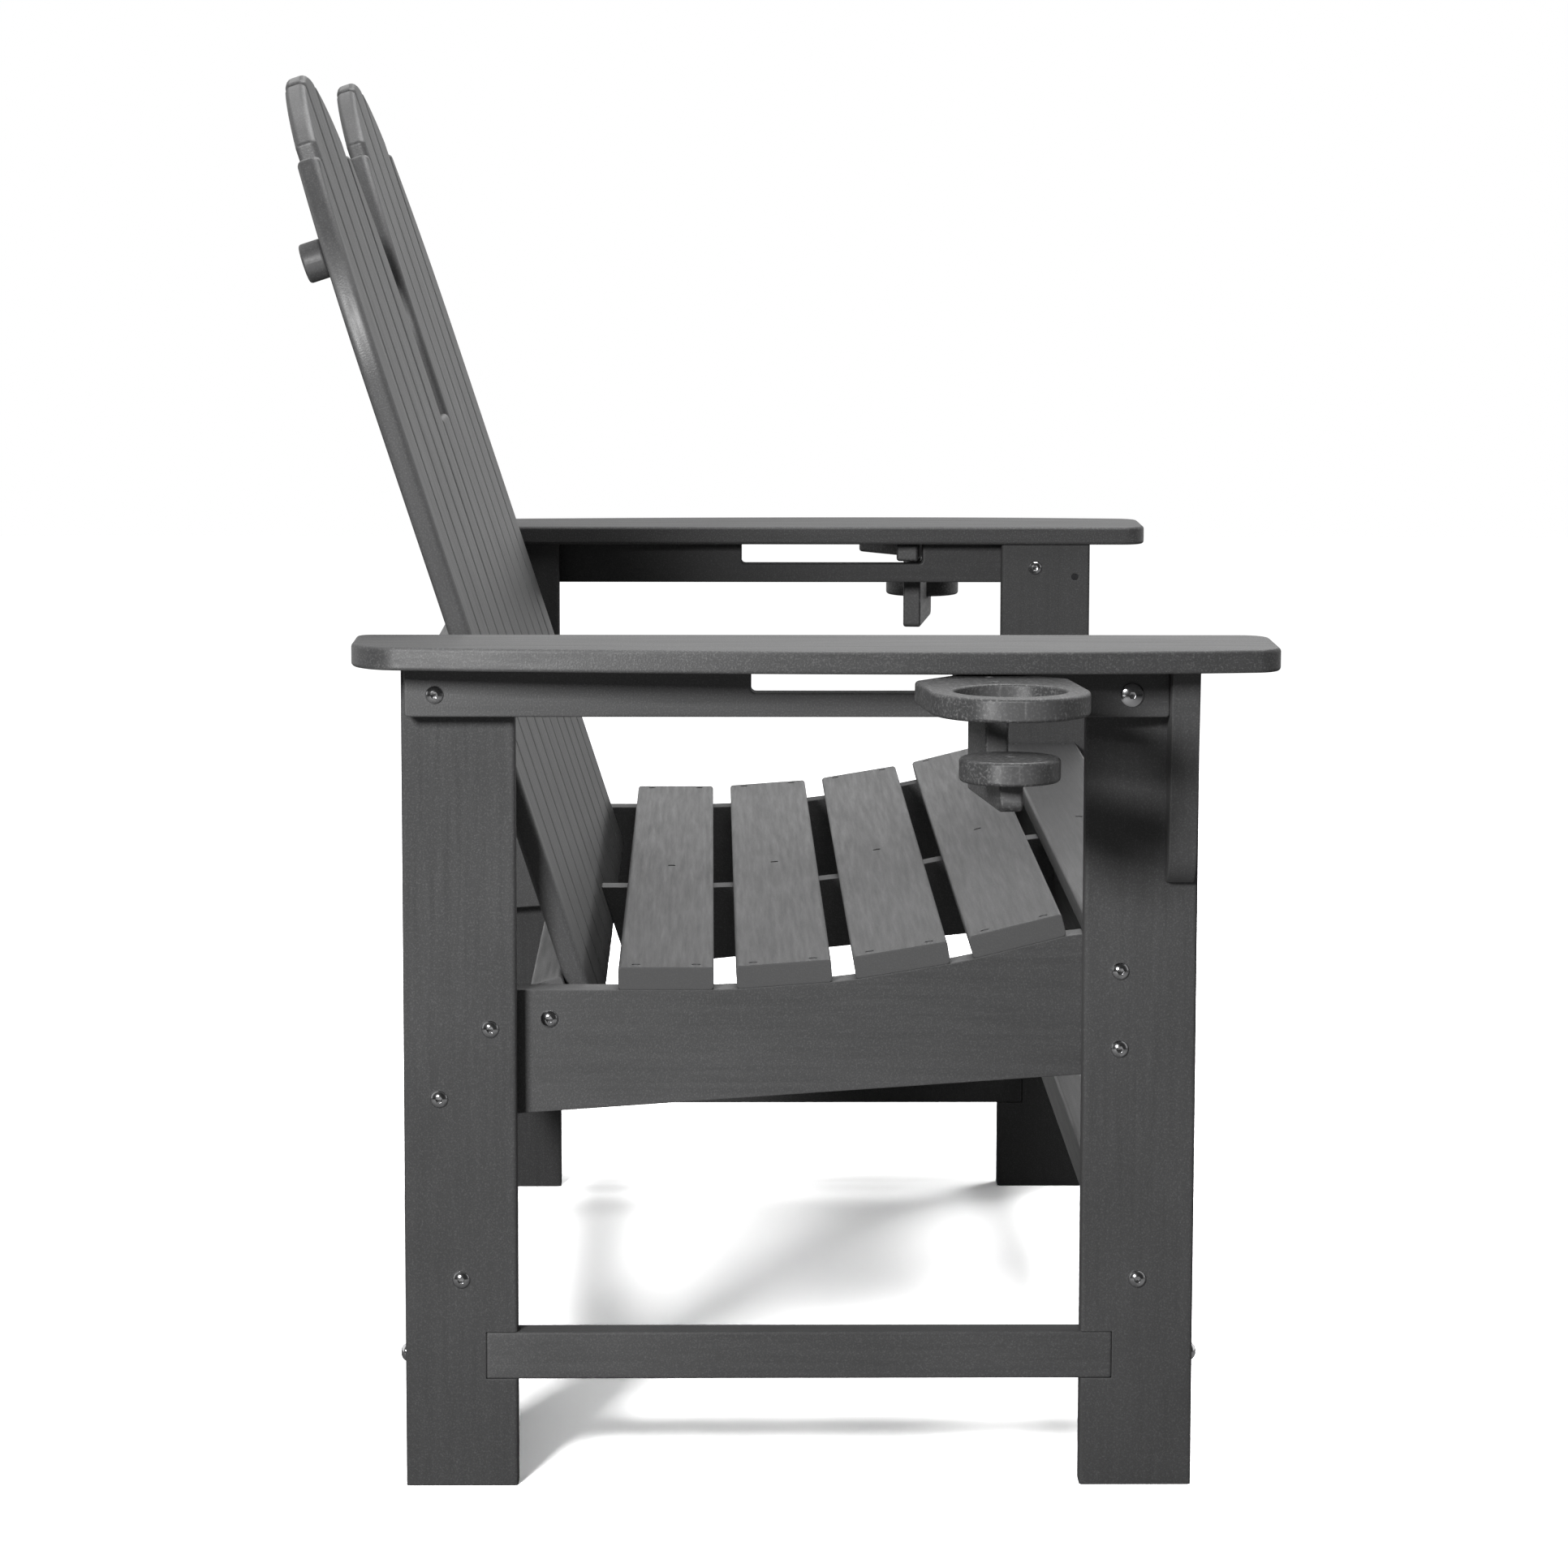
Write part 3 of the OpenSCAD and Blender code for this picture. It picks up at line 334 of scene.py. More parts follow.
def lumberMaterial(kind, grain, look):
    # grey plastic lumber: broad patches, flecks, brushed streaks along the grain, and painted highlights on
    # the edges and sawn ends
    mat = bpy.data.materials.new("lumber_" + kind)
    mat.use_nodes = True
    tree = mat.node_tree
    make = maker(tree)
    skin = tree.nodes["Principled BSDF"]
    coord = make("TexCoord")
    turn = make("Mapping")
    turn.inputs["Rotation"].default_value = grainTurns[grain]
    link(tree, coord, "Object", turn, "Vector")
    stretch = make("Mapping")
    stretch.inputs["Scale"].default_value = (look["streakStretch"], 1, 1)
    link(tree, turn, "Vector", stretch, "Vector")

    def ranged(source, outName, span, low, high):
        r = make("MapRange")
        r.inputs["From Min"].default_value, r.inputs["From Max"].default_value = span
        r.inputs["To Min"].default_value, r.inputs["To Max"].default_value = low, high
        link(tree, source, outName, r, "Value")
        return r

    def blend(way, factor, a, b):
        m = make("Mix", data_type="RGBA", blend_type=way)
        first, second, result = colourMix
        for socket, value in ((0, factor), (first, a), (second, b)):
            if isinstance(value, tuple):
                m.inputs[socket].default_value = (*value, 1)
            elif isinstance(value, float):
                m.inputs[socket].default_value = value
            else:
                tree.links.new(value, m.inputs[socket])
        return m.outputs[result]

    patches = noiseNode(tree, turn, "Vector", look["patchScale"], 2.0)
    flecks = noiseNode(tree, turn, "Vector", look["fleckScale"], 2.0, 0.6)
    streaks = noiseNode(tree, stretch, "Vector", look["streakScale"], 3.0, 0.65)
    tone = look["toneFrom"]
    fleckMask = ranged(flecks, 0, look["fleckFrom"], 0.0, 1.0).outputs[0]
    patchTone = ranged(patches, 0, tone, 1 - look["shade"], 1 + look["shade"]).outputs[0]
    streakTone = ranged(streaks, 0, tone, 1 - look["streakShade"], 1 + look["streakShade"]).outputs[0]
    base = blend("MIX", fleckMask, look["colour"], look["fleckColour"])
    shaded = blend("MULTIPLY", 1.0, base, patchTone)
    brushed = blend("MULTIPLY", 1.0, shaded, streakTone)

    # sawn ends, where the surface faces along the grain, get a painted highlight: they are painted paler
    geo = make("NewGeometry")
    facing = make("VectorMath", operation="DOT_PRODUCT")
    facing.inputs[1].default_value = grainAxes[grain]
    size = make("Math", operation="ABSOLUTE")
    link(tree, geo, "Normal", facing, 0)
    link(tree, facing, "Value", size, 0)
    sawn = ranged(size, 0, look["endFrom"], 0.0, look["endHighlightShare"]).outputs[0]
    ends = blend("MIX", sawn, brushed, look["paintedHighlightColour"])
    # how far a rounded normal leaves the flat one marks the edges, which get a painted highlight in the pale
    # colour
    soft = make("Bevel", samples=4)
    soft.inputs["Radius"].default_value = look["edgeRadius"]
    dot = make("VectorMath", operation="DOT_PRODUCT")
    link(tree, soft, "Normal", dot, 0)
    link(tree, geo, "Normal", dot, 1)
    edge = ranged(dot, "Value", look["edgeFrom"], 0.0, look["edgeHighlightShare"]).outputs[0]
    tree.links.new(blend("MIX", edge, ends, look["paintedHighlightColour"]), skin.inputs["Base Color"])

    smoother, rougher = look["roughSpread"]
    rough = ranged(streaks, 0, tone, look["roughness"] - smoother, look["roughness"] + rougher)
    link(tree, rough, 0, skin, "Roughness")
    skin.inputs["Specular IOR Level"].default_value = look["specular"]
    fine = bumpNode(tree, flecks, *look["fleckBump"], soft)
    along = bumpNode(tree, streaks, *look["streakBump"], fine)
    link(tree, along, "Normal", skin, "Normal")
    # the sheen is broad across the grain and tight along it
    across = make("VectorMath", operation="CROSS_PRODUCT")
    across.inputs[1].default_value = grainAxes[grain]
    nudge = make("VectorMath", operation="ADD")
    nudge.inputs[1].default_value = look["sheenNudge"]
    link(tree, geo, "Normal", across, 0)
    link(tree, across, 0, nudge, 0)
    link(tree, nudge, 0, skin, "Tangent")
    skin.inputs["Anisotropic"].default_value = look["sheenStretch"]
    return mat


steelLook = {
    "colour": (0.70, 0.70, 0.71),
    "cloudShade": 0.86,           # the darkest clouds, against the colour
    "cloudScale": 160.0,
    "roughness": 0.14,
    "roughSpread": (0.05, 0.10),
    "scratchScale": 900.0,
    "scratchBump": (0.08, 0.0002),
}
screwChange = {"colour": (0.09, 0.09, 0.095), "roughness": 0.32}    # the sunk screws look dark


def steelMaterial(name, look):
    # steel with fine scratches and faint clouding
    mat = bpy.data.materials.new(name)
    mat.use_nodes = True
    tree = mat.node_tree
    make = maker(tree)
    skin = tree.nodes["Principled BSDF"]
    skin.inputs["Metallic"].default_value = 1.0
    coord = make("TexCoord")
    fine = noiseNode(tree, coord, "Object", look["scratchScale"], 3.0)
    cloud = noiseNode(tree, coord, "Object", look["cloudScale"], 2.0)
    first, second, result = colourMix
    tone = make("Mix", data_type="RGBA")
    tone.inputs[first].default_value = (*[look["cloudShade"] * c for c in look["colour"]], 1)
    tone.inputs[second].default_value = (*look["colour"], 1)
    link(tree, cloud, 0, tone, 0)
    link(tree, tone, result, skin, "Base Color")
    smoother, rougher = look["roughSpread"]
    rough = make("MapRange")
    rough.inputs["To Min"].default_value = look["roughness"] - smoother
    rough.inputs["To Max"].default_value = look["roughness"] + rougher
    link(tree, cloud, 0, rough, 0)
    link(tree, rough, 0, skin, "Roughness")
    link(tree, bumpNode(tree, fine, *look["scratchBump"]), "Normal", skin, "Normal")
    return mat


cupChange = {"fleckScale": 480.0, "colour": (0.062, 0.062, 0.063), "fleckColour": (0.23, 0.23, 0.23)}
finishes = {                       # each kind of board: its grain, and how it differs from the plain look
    "leg": ("z", {}),
    "bracket": ("z", {}),
    "long": ("y", {}),
    "arm": ("y", {"specular": 0.72, "colour": (0.076, 0.076, 0.077), "fleckColour": (0.180, 0.180, 0.181)}),
    "cross": ("x", {}),
    # the seat slats' darker colour and flecks are painted shade: the same lumber, made darker where less
    # light reaches the seat
    "seat": ("x", {"specular": 0.28, "streakShade": 0.03, "colour": (0.058, 0.058, 0.059),
                   "fleckColour": (0.100, 0.100, 0.101)}),
    "back": ("back", {"specular": 0.90, "roughness": 0.46, "endHighlightShare": 0.1}),
    "cupRight": ("cupRight", cupChange),
    "cupLeft": ("cupLeft", cupChange),
}
kindStarts = (                     # how the names of each kind of board start
    ("leg", "leg"), ("back_slat", "back"), ("arm_bracket", "bracket"), ("arm_apron", "long"), ("arm_", "arm"),
    ("seat_stringer", "long"), ("side_stretcher", "long"), ("seat_slat", "seat"))
lumber = {kind: lumberMaterial(kind, grain, {**lumberLook, **change})
          for kind, (grain, change) in finishes.items()}
steel = steelMaterial("brightSteel", steelLook)
screwSteel = steelMaterial("screwSteel", {**steelLook, **screwChange})


def kindOf(name):
    if name.startswith("cup_"):
        return "cupLeft" if name.endswith("left") else "cupRight"
    return next((kind for start, kind in kindStarts if name.startswith(start)), "cross")


def finishOf(name):
    if "screw" in name:
        return screwSteel
    return steel if "bolt" in name or "nut" in name else lumber[kindOf(name)]


for name, node in nodes.items():
    node.data.materials.clear()
    node.data.materials.append(finishOf(name))
print("materials ready")


def roundLoop(points, radii, steps=8):
    # Turns each corner into an arc that touches both of its sides. The arc's middle lies on the line that
    # halves the corner, radius / sin(half the corner) away. A corner of radius 0 stays one point of a curve.
    p = np.asarray(points, float)
    r = np.broadcast_to(np.asarray(radii, float), len(p))
    toLast = np.roll(p, 1, 0) - p
    toLast /= np.linalg.norm(toLast, axis=1, keepdims=True)
    toNext = np.roll(p, -1, 0) - p
    toNext /= np.linalg.norm(toNext, axis=1, keepdims=True)
    halving = toLast + toNext
    halving /= np.linalg.norm(halving, axis=1, keepdims=True) + 1e-12
    halfSin = np.linalg.norm(toNext - toLast, axis=1) / 2
    middle = p + halving * (r / halfSin)[:, None]
    start = np.arctan2(toLast[:, 0], -toLast[:, 1])      # the outward normal of the side before the corner
    stop = np.arctan2(-toNext[:, 0], toNext[:, 1])
    sweep = (stop - start + np.pi) % (2 * np.pi) - np.pi
    part = np.arange(steps + 1) / steps
    angle = start[:, None] + sweep[:, None] * part
    normal = np.stack([np.cos(angle), np.sin(angle)], -1)
    where = middle[:, None] + normal * (r * np.sign(sweep))[:, None, None]
    keep = (r[:, None] > 0) | (np.arange(steps + 1) == steps // 2)
    return where[keep], normal[keep]


def holeLoop(centre, radius, count=40):
    # a circle that runs clockwise, so that its normals point into the hole
    angle = -2 * np.pi * np.arange(count) / count
    normal = -np.stack([np.cos(angle), np.sin(angle)], -1)
    return np.asarray(centre) - normal * radius, normal


def arcPoints(centre, radius, a0, a1, count=15):
    angle = np.linspace(a0, a1, count)
    return np.stack([centre[0] + radius * np.cos(angle), centre[1] + radius * np.sin(angle)], -1)


def plate(loops, thick, edges, steps=4):
    # A flat board of that thickness. Each loop's edge follows a quarter circle of radius e: at angle a it
    # lies e (1 - cos a) inside the outline and e (1 - sin a) inside the face.
    # Returns points, normals and faces.
    down = np.linspace(-np.pi / 2, 0, steps + 1)
    lift = np.concatenate([down, -down[::-1]])
    rings = len(lift)
    points, normals, faces, starts = [], [], [], []
    base = 0
    for (loop, normal), e in zip(loops, edges):
        count = len(loop)
        flat = loop[None] - normal[None] * (e * (1 - np.cos(lift)))[:, None, None]
        high = np.where(np.arange(rings) <= steps, e * (1 + np.sin(lift)), thick - e * (1 - np.sin(lift)))
        points.append(np.dstack([flat, np.broadcast_to(high[:, None], (rings, count))]).reshape(-1, 3))
        aim = np.dstack([normal[None] * np.cos(lift)[:, None, None],
                         np.broadcast_to(np.sin(lift)[:, None], (rings, count))])
        normals.append(aim.reshape(-1, 3))
        ring, i = np.meshgrid(np.arange(rings - 1), np.arange(count), indexing="ij")
        j = (i + 1) % count
        quad = np.stack([ring * count + i, ring * count + j,
                         (ring + 1) * count + j, (ring + 1) * count + i], -1)
        faces += (quad.reshape(-1, 4) + base).tolist()
        starts.append((base, count))
        base += rings * count
    points = np.concatenate(points)
    # the two flat faces: the innermost rings, cut into triangles
    order = np.concatenate([np.arange(count) + first for first, count in starts])
    lowest = [[Vector((*xy, 0)) for xy in points[first:first + count, :2]] for first, count in starts]
    tri = np.array(tessellate_polygon(lowest))
    xy = points[order][tri][:, :, :2]
    turn = np.cross(xy[:, 1] - xy[:, 0], xy[:, 2] - xy[:, 0])
    tri[turn < 0] = tri[turn < 0][:, ::-1]
    toTop = np.concatenate([np.full(count, (rings - 1) * count) for first, count in starts])
    faces += order[tri][:, ::-1].tolist() + (order + toTop)[tri].tolist()
    return points, np.concatenate(normals), faces


def makePiece(name, parts, frameOf, body, stands, finish, flip=False):
    # Joins parts into one mesh. frameOf is (origin, across, up, out), and
    # point = origin + x across + y up + w out.
    origin, across, up, out = (np.asarray(v, float) for v in frameOf)
    points, normals, faces, base = [], [], [], 0
    for p, n, f in parts:
        points.append(origin + p[:, :1] * across + p[:, 1:2] * up + p[:, 2:] * out)
        normals.append(n[:, :1] * across + n[:, 1:2] * up + n[:, 2:] * out)
        faces += [[k + base for k in face] for face in f]
        base += len(p)
    points, normals = np.concatenate(points), np.concatenate(normals)
    if flip:
        points[:, 0] *= -1
        normals[:, 0] *= -1
        faces = [face[::-1] for face in faces]
    mesh = bpy.data.meshes.new(name)
    mesh.from_pydata(points.tolist(), [], faces)
    mesh.shade_smooth()
    mesh.normals_split_custom_set_from_vertices(normals.tolist())
    mesh.materials.append(finish)
    piece = bpy.data.objects.new(name, mesh)
    bpy.context.scene.collection.objects.link(piece)
    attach(piece, body)
    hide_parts(stands)


def onSide(x):
    # side views: distance forward, height; the thickness grows toward -X from x
    return (x, midF, 0), (0, -1, 0), (0, 0, 1), (-1, 0, 0)


planFrame = (-halfW, midF, z.legH), (-1, 0, 0), (0, -1, 0), (0, 0, 1)
backOut = np.array([0, -math.cos(lean), math.sin(lean)])
backUp = np.array([0, math.sin(lean), math.cos(lean)])
backFoot = np.array([0, midF - backFootF, backFootH])


def onBack(x, depth):
    # places on the back: across from x, up along the slats, out toward the sitter from that depth
    return backFoot + (x, 0, 0) - depth * backOut, (1, 0, 0), backUp, backOut


cupAlong = np.array([-math.cos(cupYaw), -math.sin(cupYaw), 0])
cupAcross = np.array([math.sin(cupYaw), -math.cos(cupYaw), 0])
cupFoot = np.array([-halfW, midF - cupF, 0])


def bothSides(name, parts, frameOf, body):
    # the right piece and its mirror image
    for side, flip in (("right", False), ("left", True)):
        node = name + "_" + side
        rides = body if body == "frame" else "cup_holder_" + side
        makePiece(node + "_board", parts, frameOf, rides, node, lumber[kindOf(node)], flip)


# The arms: the outer edge is two large arcs that meet where the arm is widest.
rearL = z.armWideF + z.armRear
frontF = z.frameD + z.armFront
frontL = frontF - z.armWideF
rearR = (rearL ** 2 + z.armRearBow ** 2) / (2 * z.armRearBow)
frontR = (frontL ** 2 + z.armFrontBow ** 2) / (2 * z.armFrontBow)
rearA = -math.asin((rearL - z.armRearCorner) / (rearR - z.armRearCorner))
frontA = math.asin((frontL - z.armCorner) / (frontR - z.armCorner))
rearC = (z.armOut - rearR, z.armWideF)
frontC = (z.armOut - frontR, z.armWideF)
quarter = math.pi / 2


def cornerAt(centre, reach, radius, angle, a0, a1):
    # a small arc that touches the inside of a large one at that angle
    middle = (centre[0] + (reach - radius) * math.cos(angle), centre[1] + (reach - radius) * math.sin(angle))
    return arcPoints(middle, radius, a0, a1)


armLoop = np.concatenate([
    arcPoints(frontC, frontR, 0, frontA, arcSteps)[:-1],
    cornerAt(frontC, frontR, z.armCorner, frontA, frontA, quarter),
    arcPoints((z.armCorner - z.armIn, frontF - z.armCorner), z.armCorner, quarter, 2 * quarter),
    arcPoints((z.armInnerCorner - z.armIn, z.armInnerCorner - z.armRear), z.armInnerCorner,
              2 * quarter, 3 * quarter),
    cornerAt(rearC, rearR, z.armRearCorner, rearA, -quarter, rearA)[:-1],
    arcPoints(rearC, rearR, rearA, 0, arcSteps)[:-1],
])
bothSides("arm", [plate([roundLoop(armLoop, 0)], z.slatT, [z.armEdge])], planFrame, "frame")

# The aprons: a board with the slot open at its top.
apronLow = z.legH - z.apronH
apronEnd = z.frameD - z.corbelInset - z.corbelT
slotEnd = slotF + z.slotLen
slotLow = z.legH - slotH
apronLoop = roundLoop(
    [(z.apronRearInset, apronLow), (apronEnd, apronLow), (apronEnd, z.legH), (slotEnd, z.legH),
     (slotEnd, slotLow), (slotF, slotLow), (slotF, z.legH), (z.apronRearInset, z.legH)],
    [z.apronCorner] * 2 + [z.apronEdge] * 2 + [z.slotCorner] * 2 + [z.apronEdge] * 2)
bothSides("arm_apron", [plate([apronLoop], z.apronT, [z.apronEdge])], onSide(-halfW), "frame")

# The brackets: a straight upper part over a quarter round foot.
corbelLow = z.legH - z.corbelH
footArc = arcPoints((0, corbelLow + z.corbelFoot), z.corbelFoot, -quarter, 0, footSteps)
bracket = np.concatenate([footArc, [(z.corbelTop, z.legH), (0, z.legH)]])
bracketRadii = np.zeros(len(bracket))
bracketRadii[[0, -2, -1]] = z.bracketEdge
bracketFrame = (-halfW, midF - corbelMidF - z.corbelT / 2, 0), (-1, 0, 0), (0, 0, 1), (0, 1, 0)
bothSides("arm_bracket", [plate([roundLoop(bracket, bracketRadii)], z.corbelT, [z.bracketEdge])],
          bracketFrame, "frame")


# The stringers: the upper edge follows the undersides of the seat slats.
def seatChain():
    # rear and front lower corners of the five slats, and the width that lets them fill the seat
    first = backFootF - z.footDrop * math.tan(lean) + z.seatBackGap
    halves = (seatSlopes[:-1] + seatSlopes[1:]) / 2
    turnRun = z.slatT * (math.sin(seatSlopes[-1]) - math.sin(seatSlopes[0]))
    gapRun = z.seatGap * np.cos(halves).sum()
    width = (z.frameD - z.seatFrontInset - first - gapRun - turnRun) / np.cos(seatSlopes).sum()
    ahead = np.stack([np.cos(seatSlopes), np.sin(seatSlopes)], -1)
    above = np.stack([-np.sin(seatSlopes), np.cos(seatSlopes)], -1)
    jump = z.slatT * (above[:-1] - above[1:]) + z.seatGap * np.stack([np.cos(halves), np.sin(halves)], -1)
    starts = np.array([first, z.seatH]) + np.concatenate([[(0, 0)], np.cumsum(width * ahead[:-1] + jump, 0)])
    return np.stack([starts, starts + width * ahead], 1).reshape(-1, 2)


chain = seatChain()
seatEnd = chain[-1]
upperEdge = chain[::-1]
sideStringer = np.concatenate([
    [(z.stringerRearInset, z.seatH - z.stringerRearH), (seatEnd[0], seatEnd[1] - z.stringerFrontH)],
    upperEdge, [(z.stringerRearInset, z.seatH)]])
sideRadii = np.full(len(sideStringer), z.stringerCorner)
sideRadii[3:-2] = z.stringerEdge
bothSides("seat_stringer", [plate([roundLoop(sideStringer, sideRadii, 4)], z.frameT, [z.stringerEdge])],
          onSide(-legIn + z.frameT), "frame")

# The side stretchers, whose soft ends show as thin dark lines in the legs' notches.
stretcherLoop = roundLoop(
    [(z.legW - z.notchD, z.sideLow), (frontLegF + z.notchD, z.sideLow),
     (frontLegF + z.notchD, z.sideLow + z.stretcherH), (z.legW - z.notchD, z.sideLow + z.stretcherH)],
    z.stretcherEdge)
bothSides("side_stretcher", [plate([stretcherLoop], z.frameT, [z.stretcherEdge])],
          onSide(-halfW + z.frameT), "frame")


# The slats of the back, drawn about the middle of an arch.
def archSlat(k):
    # slat k, counted from the arch's middle one: the outer two have a flat shoulder and a curved outer edge
    left, right = k * pitch - slatW / 2, k * pitch + slatW / 2
    capMid = z.backLen - z.capR
    if abs(k) < 2:
        span = np.linspace(right, left, arcSteps)
        tops = np.stack([span, capMid + np.sqrt(z.capR ** 2 - span ** 2)], -1)
        loop = np.concatenate([[(left, 0), (right, 0)], tops])
        radii = np.zeros(len(loop))
        radii[[0, 1]] = z.slatCorner
        radii[[2, -1]] = z.capCorner
        crowded = [3, 4, len(loop) - 3, len(loop) - 2]    # points that the rounded corners would swallow
        return roundLoop(np.delete(loop, crowded, 0), np.delete(radii, crowded))
    rise = np.linspace(sideStart, shoulder, arcSteps)
    edge = archHalf - z.sideR + np.sqrt(z.sideR ** 2 - (rise - sideStart) ** 2)
    outer = np.stack([edge, rise], -1)
    outer = np.delete(outer, [len(outer) - 2], 0)
    inner = 2 * pitch - slatW / 2
    loop = np.concatenate([[(inner, 0), (archHalf, 0)], outer, [(inner, shoulder)]])
    radii = np.zeros(len(loop))
    radii[[0, 1, -2, -1]] = z.slatCorner
    if k < 0:
        loop = loop[::-1] * (-1, 1)
        radii = radii[::-1]
    return roundLoop(loop, radii)


def backSlat(number, loop, x, flip=False):
    name = "back_slat_%02d" % number
    makePiece(name + "_board", [plate([loop], z.backT, [z.backEdge])], onBack(x, z.backT), "frame", name,
              lumber["back"], flip)


for index in range(5):
    backSlat(index + 1, archSlat(index - 2), -3 * pitch)
    backSlat(11 - index, archSlat(index - 2), -3 * pitch, True)
midLen = z.backLen - z.midSlatDrop
midLoop = roundLoop([(-slatW / 2, 0), (slatW / 2, 0), (slatW / 2, midLen), (-slatW / 2, midLen)], z.capCorner)
backSlat(6, midLoop, 0)

# The upper back rail, with half-round ends.
railMid = z.backLen - z.topRailDrop
railHalf = stringerIn - z.sideGap - z.topRailInset
railLoop = roundLoop([(-railHalf, railMid - z.topRailH / 2), (railHalf, railMid - z.topRailH / 2),
                      (railHalf, railMid + z.topRailH / 2), (-railHalf, railMid + z.topRailH / 2)],
                     z.topRailH / 2 - z.hair, 16)
makePiece("back_rail_upper_board", [plate([railLoop], z.topRailT, [z.topRailEdge])],
          onBack(0, z.backT + z.topRailT), "frame", "back_rail_upper", lumber["cross"])

# The cup holders: ring with its tongue, hanger and disc.
taperL = cupL - z.cupSide
taper = z.cupR - z.tongueW / 2
neckL = cupL - z.hangerNeck
halfTongue = z.tongueW / 2
ringArc = arcPoints((cupL, 0), z.cupR, -quarter, quarter, ringSteps // 2 + 1)
ringCorners = np.concatenate([
    ringArc, [(taperL, z.cupR), (taperL - taper, halfTongue), (-z.tonguePast, halfTongue),
              (-z.tonguePast, -halfTongue), (taperL - taper, -halfTongue), (taperL, -z.cupR)]])
ringRadii = np.zeros(len(ringCorners))
flankRadii = [z.flankCorner, z.neckCorner, z.tongueCorner]
ringRadii[-6:] = flankRadii + flankRadii[::-1]
screwHoles = [holeLoop((neckL - back, 0), z.screwHeadR, screwHoleSteps)
              for back in (z.ringScrewNear, z.ringScrewFar)]
ring = plate([roundLoop(ringCorners, ringRadii), holeLoop((cupL, 0), z.cupHoleR, ringSteps)] + screwHoles,
             z.slatT, [z.ringEdge, z.ringHoleEdge, z.screwHoleEdge, z.screwHoleEdge])
bothSides("cup_ring", [ring], (cupFoot + (0, 0, ringZ), cupAlong, cupAcross, (0, 0, 1)), "cup")
hangerLow = hangerTopZ - z.hangerFootH
hangerLoop = roundLoop(
    [(z.hangerIn, hangerLow), (cupL + z.hangerPast, hangerLow), (cupL + z.hangerPast, hangerTopZ),
     (neckL, hangerTopZ), (neckL, ringZ), (z.hangerIn, ringZ)],
    [z.hangerToeCorner, z.hangerNoseCorner] + [z.hangerCorner] * 4)
bothSides("cup_hanger", [plate([hangerLoop], z.slatT, [z.hangerEdge])],
          (cupFoot + z.slatT / 2 * cupAcross, cupAlong, (0, 0, 1), -cupAcross), "cup")
discAngle = 2 * np.pi * np.arange(ringSteps) / ringSteps
discRim = np.stack([np.cos(discAngle), np.sin(discAngle)], -1)
disc = plate([(discRim * z.baseR, discRim), holeLoop((0, 0), z.screwHeadR, screwHoleSteps)], z.slatT,
             [z.ringEdge, z.screwHoleEdge])
discPlace = cupFoot + cupL * cupAlong + (0, 0, hangerTopZ)
bothSides("cup_base", [disc], (discPlace, cupAlong, cupAcross, (0, 0, 1)), "cup")
print("boards ready")


# The bolts and the sleeve nuts.
headShape = {                   # shares of the head's radius, of its soft edge and of the socket's width
    "softShare": 0.06,
    "softDropShare": 0.4,
    "slopeEndShare": 0.68,
    "slopeRings": 7,
    "floorShare": 0.5,
}
sharpTurn = math.radians(38)


def headMesh(diameter, height, rim, depth, shankR, shankL, count=48):
    # A low rim under a ball cap with a hexagon socket: at radius r the cap stands
    # rim + sqrt(R^2 - r^2) - (R - cap) high, and the socket's wall lies at half its width / cos(turn).
    capH = height - rim
    ball = (diameter ** 2 / 4 + capH ** 2) / (2 * capH)
    angle = 2 * np.pi * np.arange(count) / count
    turn = (angle + np.pi / 6) % (np.pi / 3) - np.pi / 6
    hexR = z.socketW / 2 / np.cos(turn)
    ones = np.ones(count)
    half = diameter / 2

    def capAt(r):
        return rim + np.sqrt(ball ** 2 - r ** 2) - (ball - capH)

    soft = headShape["softShare"] * half
    slopeR = np.linspace(half - soft, z.socketW * headShape["slopeEndShare"], headShape["slopeRings"])
    lip = hexR + z.socketLip
    floor = height - depth
    rings = [(shankR * ones, -shankL * ones), (shankR * ones, 0 * ones), (half * ones, 0 * ones),
             (half * ones, (rim - soft * headShape["softDropShare"]) * ones)]
    rings += [(r * ones, capAt(r) * ones) for r in slopeR]
    rings += [(lip, capAt(lip)), (hexR, capAt(hexR) - z.socketLipDrop), (hexR, floor * ones),
              (hexR * headShape["floorShare"], (floor - z.socketDip) * ones)]
    reach = np.array([ring[0] for ring in rings])
    high = np.array([ring[1] for ring in rings])
    points = np.stack([reach * np.cos(angle), reach * np.sin(angle), high], -1).reshape(-1, 3)
    ring, i = np.meshgrid(np.arange(len(rings) - 1), np.arange(count), indexing="ij")
    j = (i + 1) % count
    quads = np.stack([ring * count + i, ring * count + j,
                      (ring + 1) * count + j, (ring + 1) * count + i], -1)
    first = np.arange(count)
    ends = [first[::-1].tolist(), (first + (len(rings) - 1) * count).tolist()]
    return points, quads.reshape(-1, 4).tolist() + ends


def boltPiece(node, kinds):
    # kinds: (head mesh, places, direction of the head); the same on both sides of the bench
    allPoints, faces, base = [], [], 0
    for (points, quads), places, out in kinds:
        out = np.asarray(out, float)
        across = np.array([0, 0, 1.0])
        up = np.cross(out, across)
        for place in places:
            body = np.asarray(place) + points[:, :1] * across + points[:, 1:2] * up + points[:, 2:] * out
            for mirrored in (False, True):
                allPoints.append(body * ((-1, 1, 1) if mirrored else (1, 1, 1)))
                faces += [[k + base for k in (face[::-1] if mirrored else face)] for face in quads]
                base += len(points)
    mesh = bpy.data.meshes.new(node)
    mesh.from_pydata(np.concatenate(allPoints).tolist(), [], faces)
    mesh.shade_smooth()
    mesh.set_sharp_from_angle(angle=sharpTurn)
    mesh.materials.append(steel)
    piece = bpy.data.objects.new(node + "_piece", mesh)
    bpy.context.scene.collection.objects.link(piece)
    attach(piece, "frame")
    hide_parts(node)


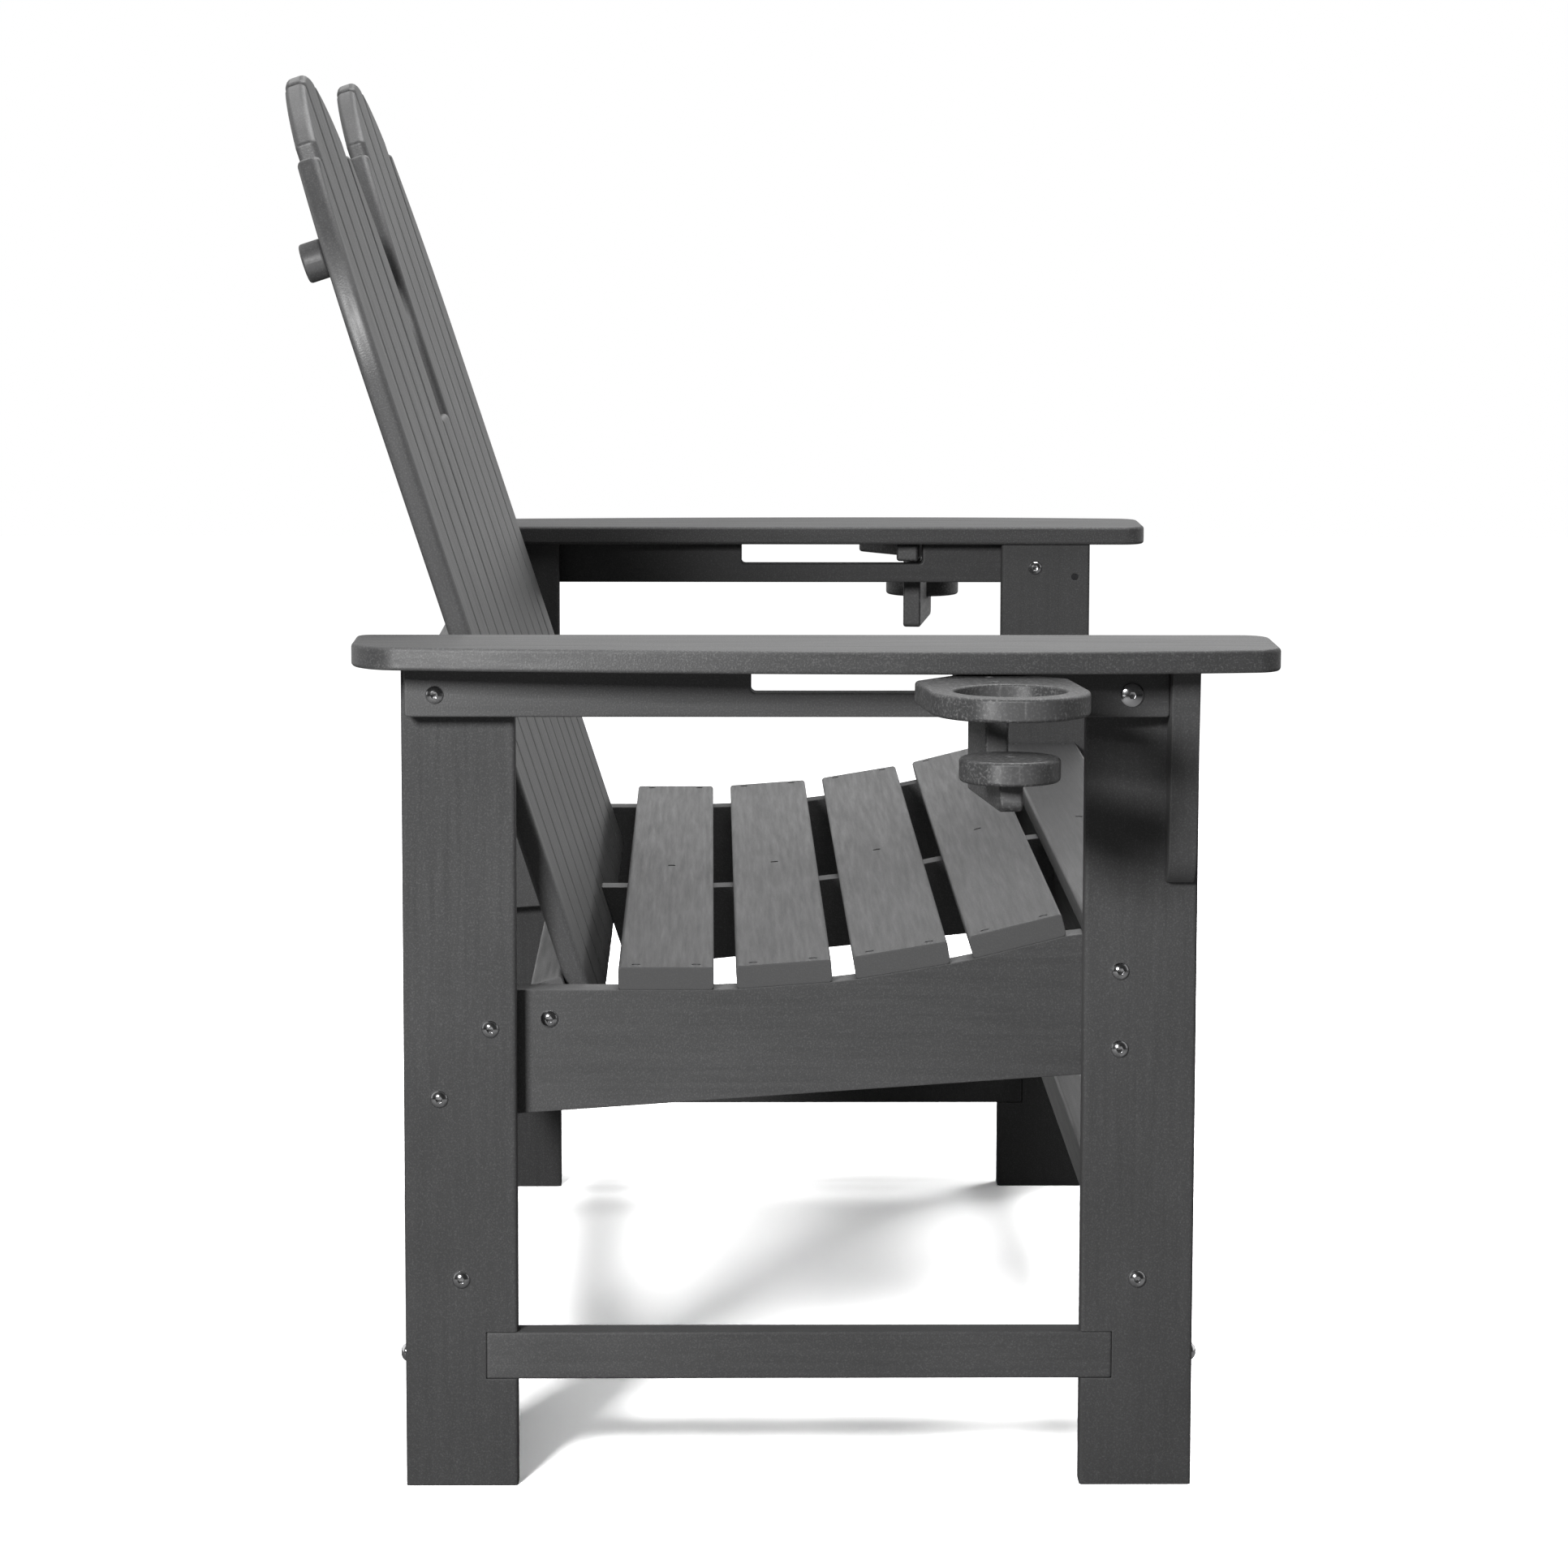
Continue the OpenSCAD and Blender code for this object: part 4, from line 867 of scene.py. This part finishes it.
def onBackSide(behind, along):
    # distance forward and height of a place that far behind the back's front face and that far up it
    return (backFootF - along * math.sin(lean) - behind * math.cos(lean),
            backFootH + along * math.cos(lean) - behind * math.sin(lean))


def headed(length):
    return headMesh(z.headD, z.headH, z.headRim, z.socketD, z.boltD / 2, length)


railBoltBehind = z.backT + z.frameT - z.railBoltEdge
midRailTop = (z.legH - backFootH + z.backT * math.sin(lean)) / math.cos(lean)
jointF, jointZ = onBackSide(railBoltBehind, midRailTop - z.midRailH / 2)
lowF, lowZ = onBackSide(railBoltBehind, z.lowRailH / 2)
railH = z.stringerFrontH - z.railDrop - z.railLift
railMidZ = seatEnd[1] - z.railDrop - railH / 2
railF = frontLegF + z.railInset
outward, inward, ahead, behind = (-1, 0, 0), (1, 0, 0), (0, -1, 0), (0, 1, 0)
rearBolts = [(-halfW, midF - across * z.legW, z.seatH - drop * z.stringerRearH)
             for across, drop in rearBoltShares]
frontBolts = [(-halfW, midF - railF, railMidZ + side * frontBoltShare * railH) for side in (-1, 1)]
boltPiece("stringer_bolts", [(headed(2 * z.frameT), rearBolts, outward),
                             (headed(2 * z.frameT + z.endBite), frontBolts, outward)])
boltPiece("stretcher_bolts", [
    (headed(z.frameT + z.endBite), [(-halfW, midF - f, z.crossLow + z.stretcherH / 2)
                                    for f in (z.legW / 2, z.frameD - z.legW / 2)], outward)])
sideBoltL = z.legW - z.notchD + z.endBite
sideBoltZ = z.sideLow + z.stretcherH / 2
boltPiece("side_stretcher_bolts", [
    (headed(sideBoltL), [(-halfW + z.frameT / 2, midF, sideBoltZ)], behind),
    (headed(sideBoltL), [(-halfW + z.frameT / 2, midF - z.frameD, sideBoltZ)], ahead)])
boltPiece("lower_rail_bolts", [(headed(z.frameT + z.endBite), [(-legIn, midF - lowF, lowZ)], outward)])
boltPiece("arm_joint_bolts", [
    (headed(z.apronT + z.frameT + z.endBite), [(-halfW - z.apronT, midF - jointF, jointZ)], outward)])
nutY = midF - z.frameD + z.apronBoltInset
boltPiece("apron_front_bolts", [
    (headed(z.frameT + z.apronT - z.boltEndGap), [(-legIn, nutY, jointZ)], inward)])
nut = headMesh(z.nutD, z.nutH, z.nutRim, z.nutH - z.nutRim, z.boltD / 2 + z.nutWall, z.nutSleeveL)
boltPiece("apron_front_nuts", [(nut, [(-halfW - z.apronT, nutY, jointZ)], outward)])
print("fasteners ready")
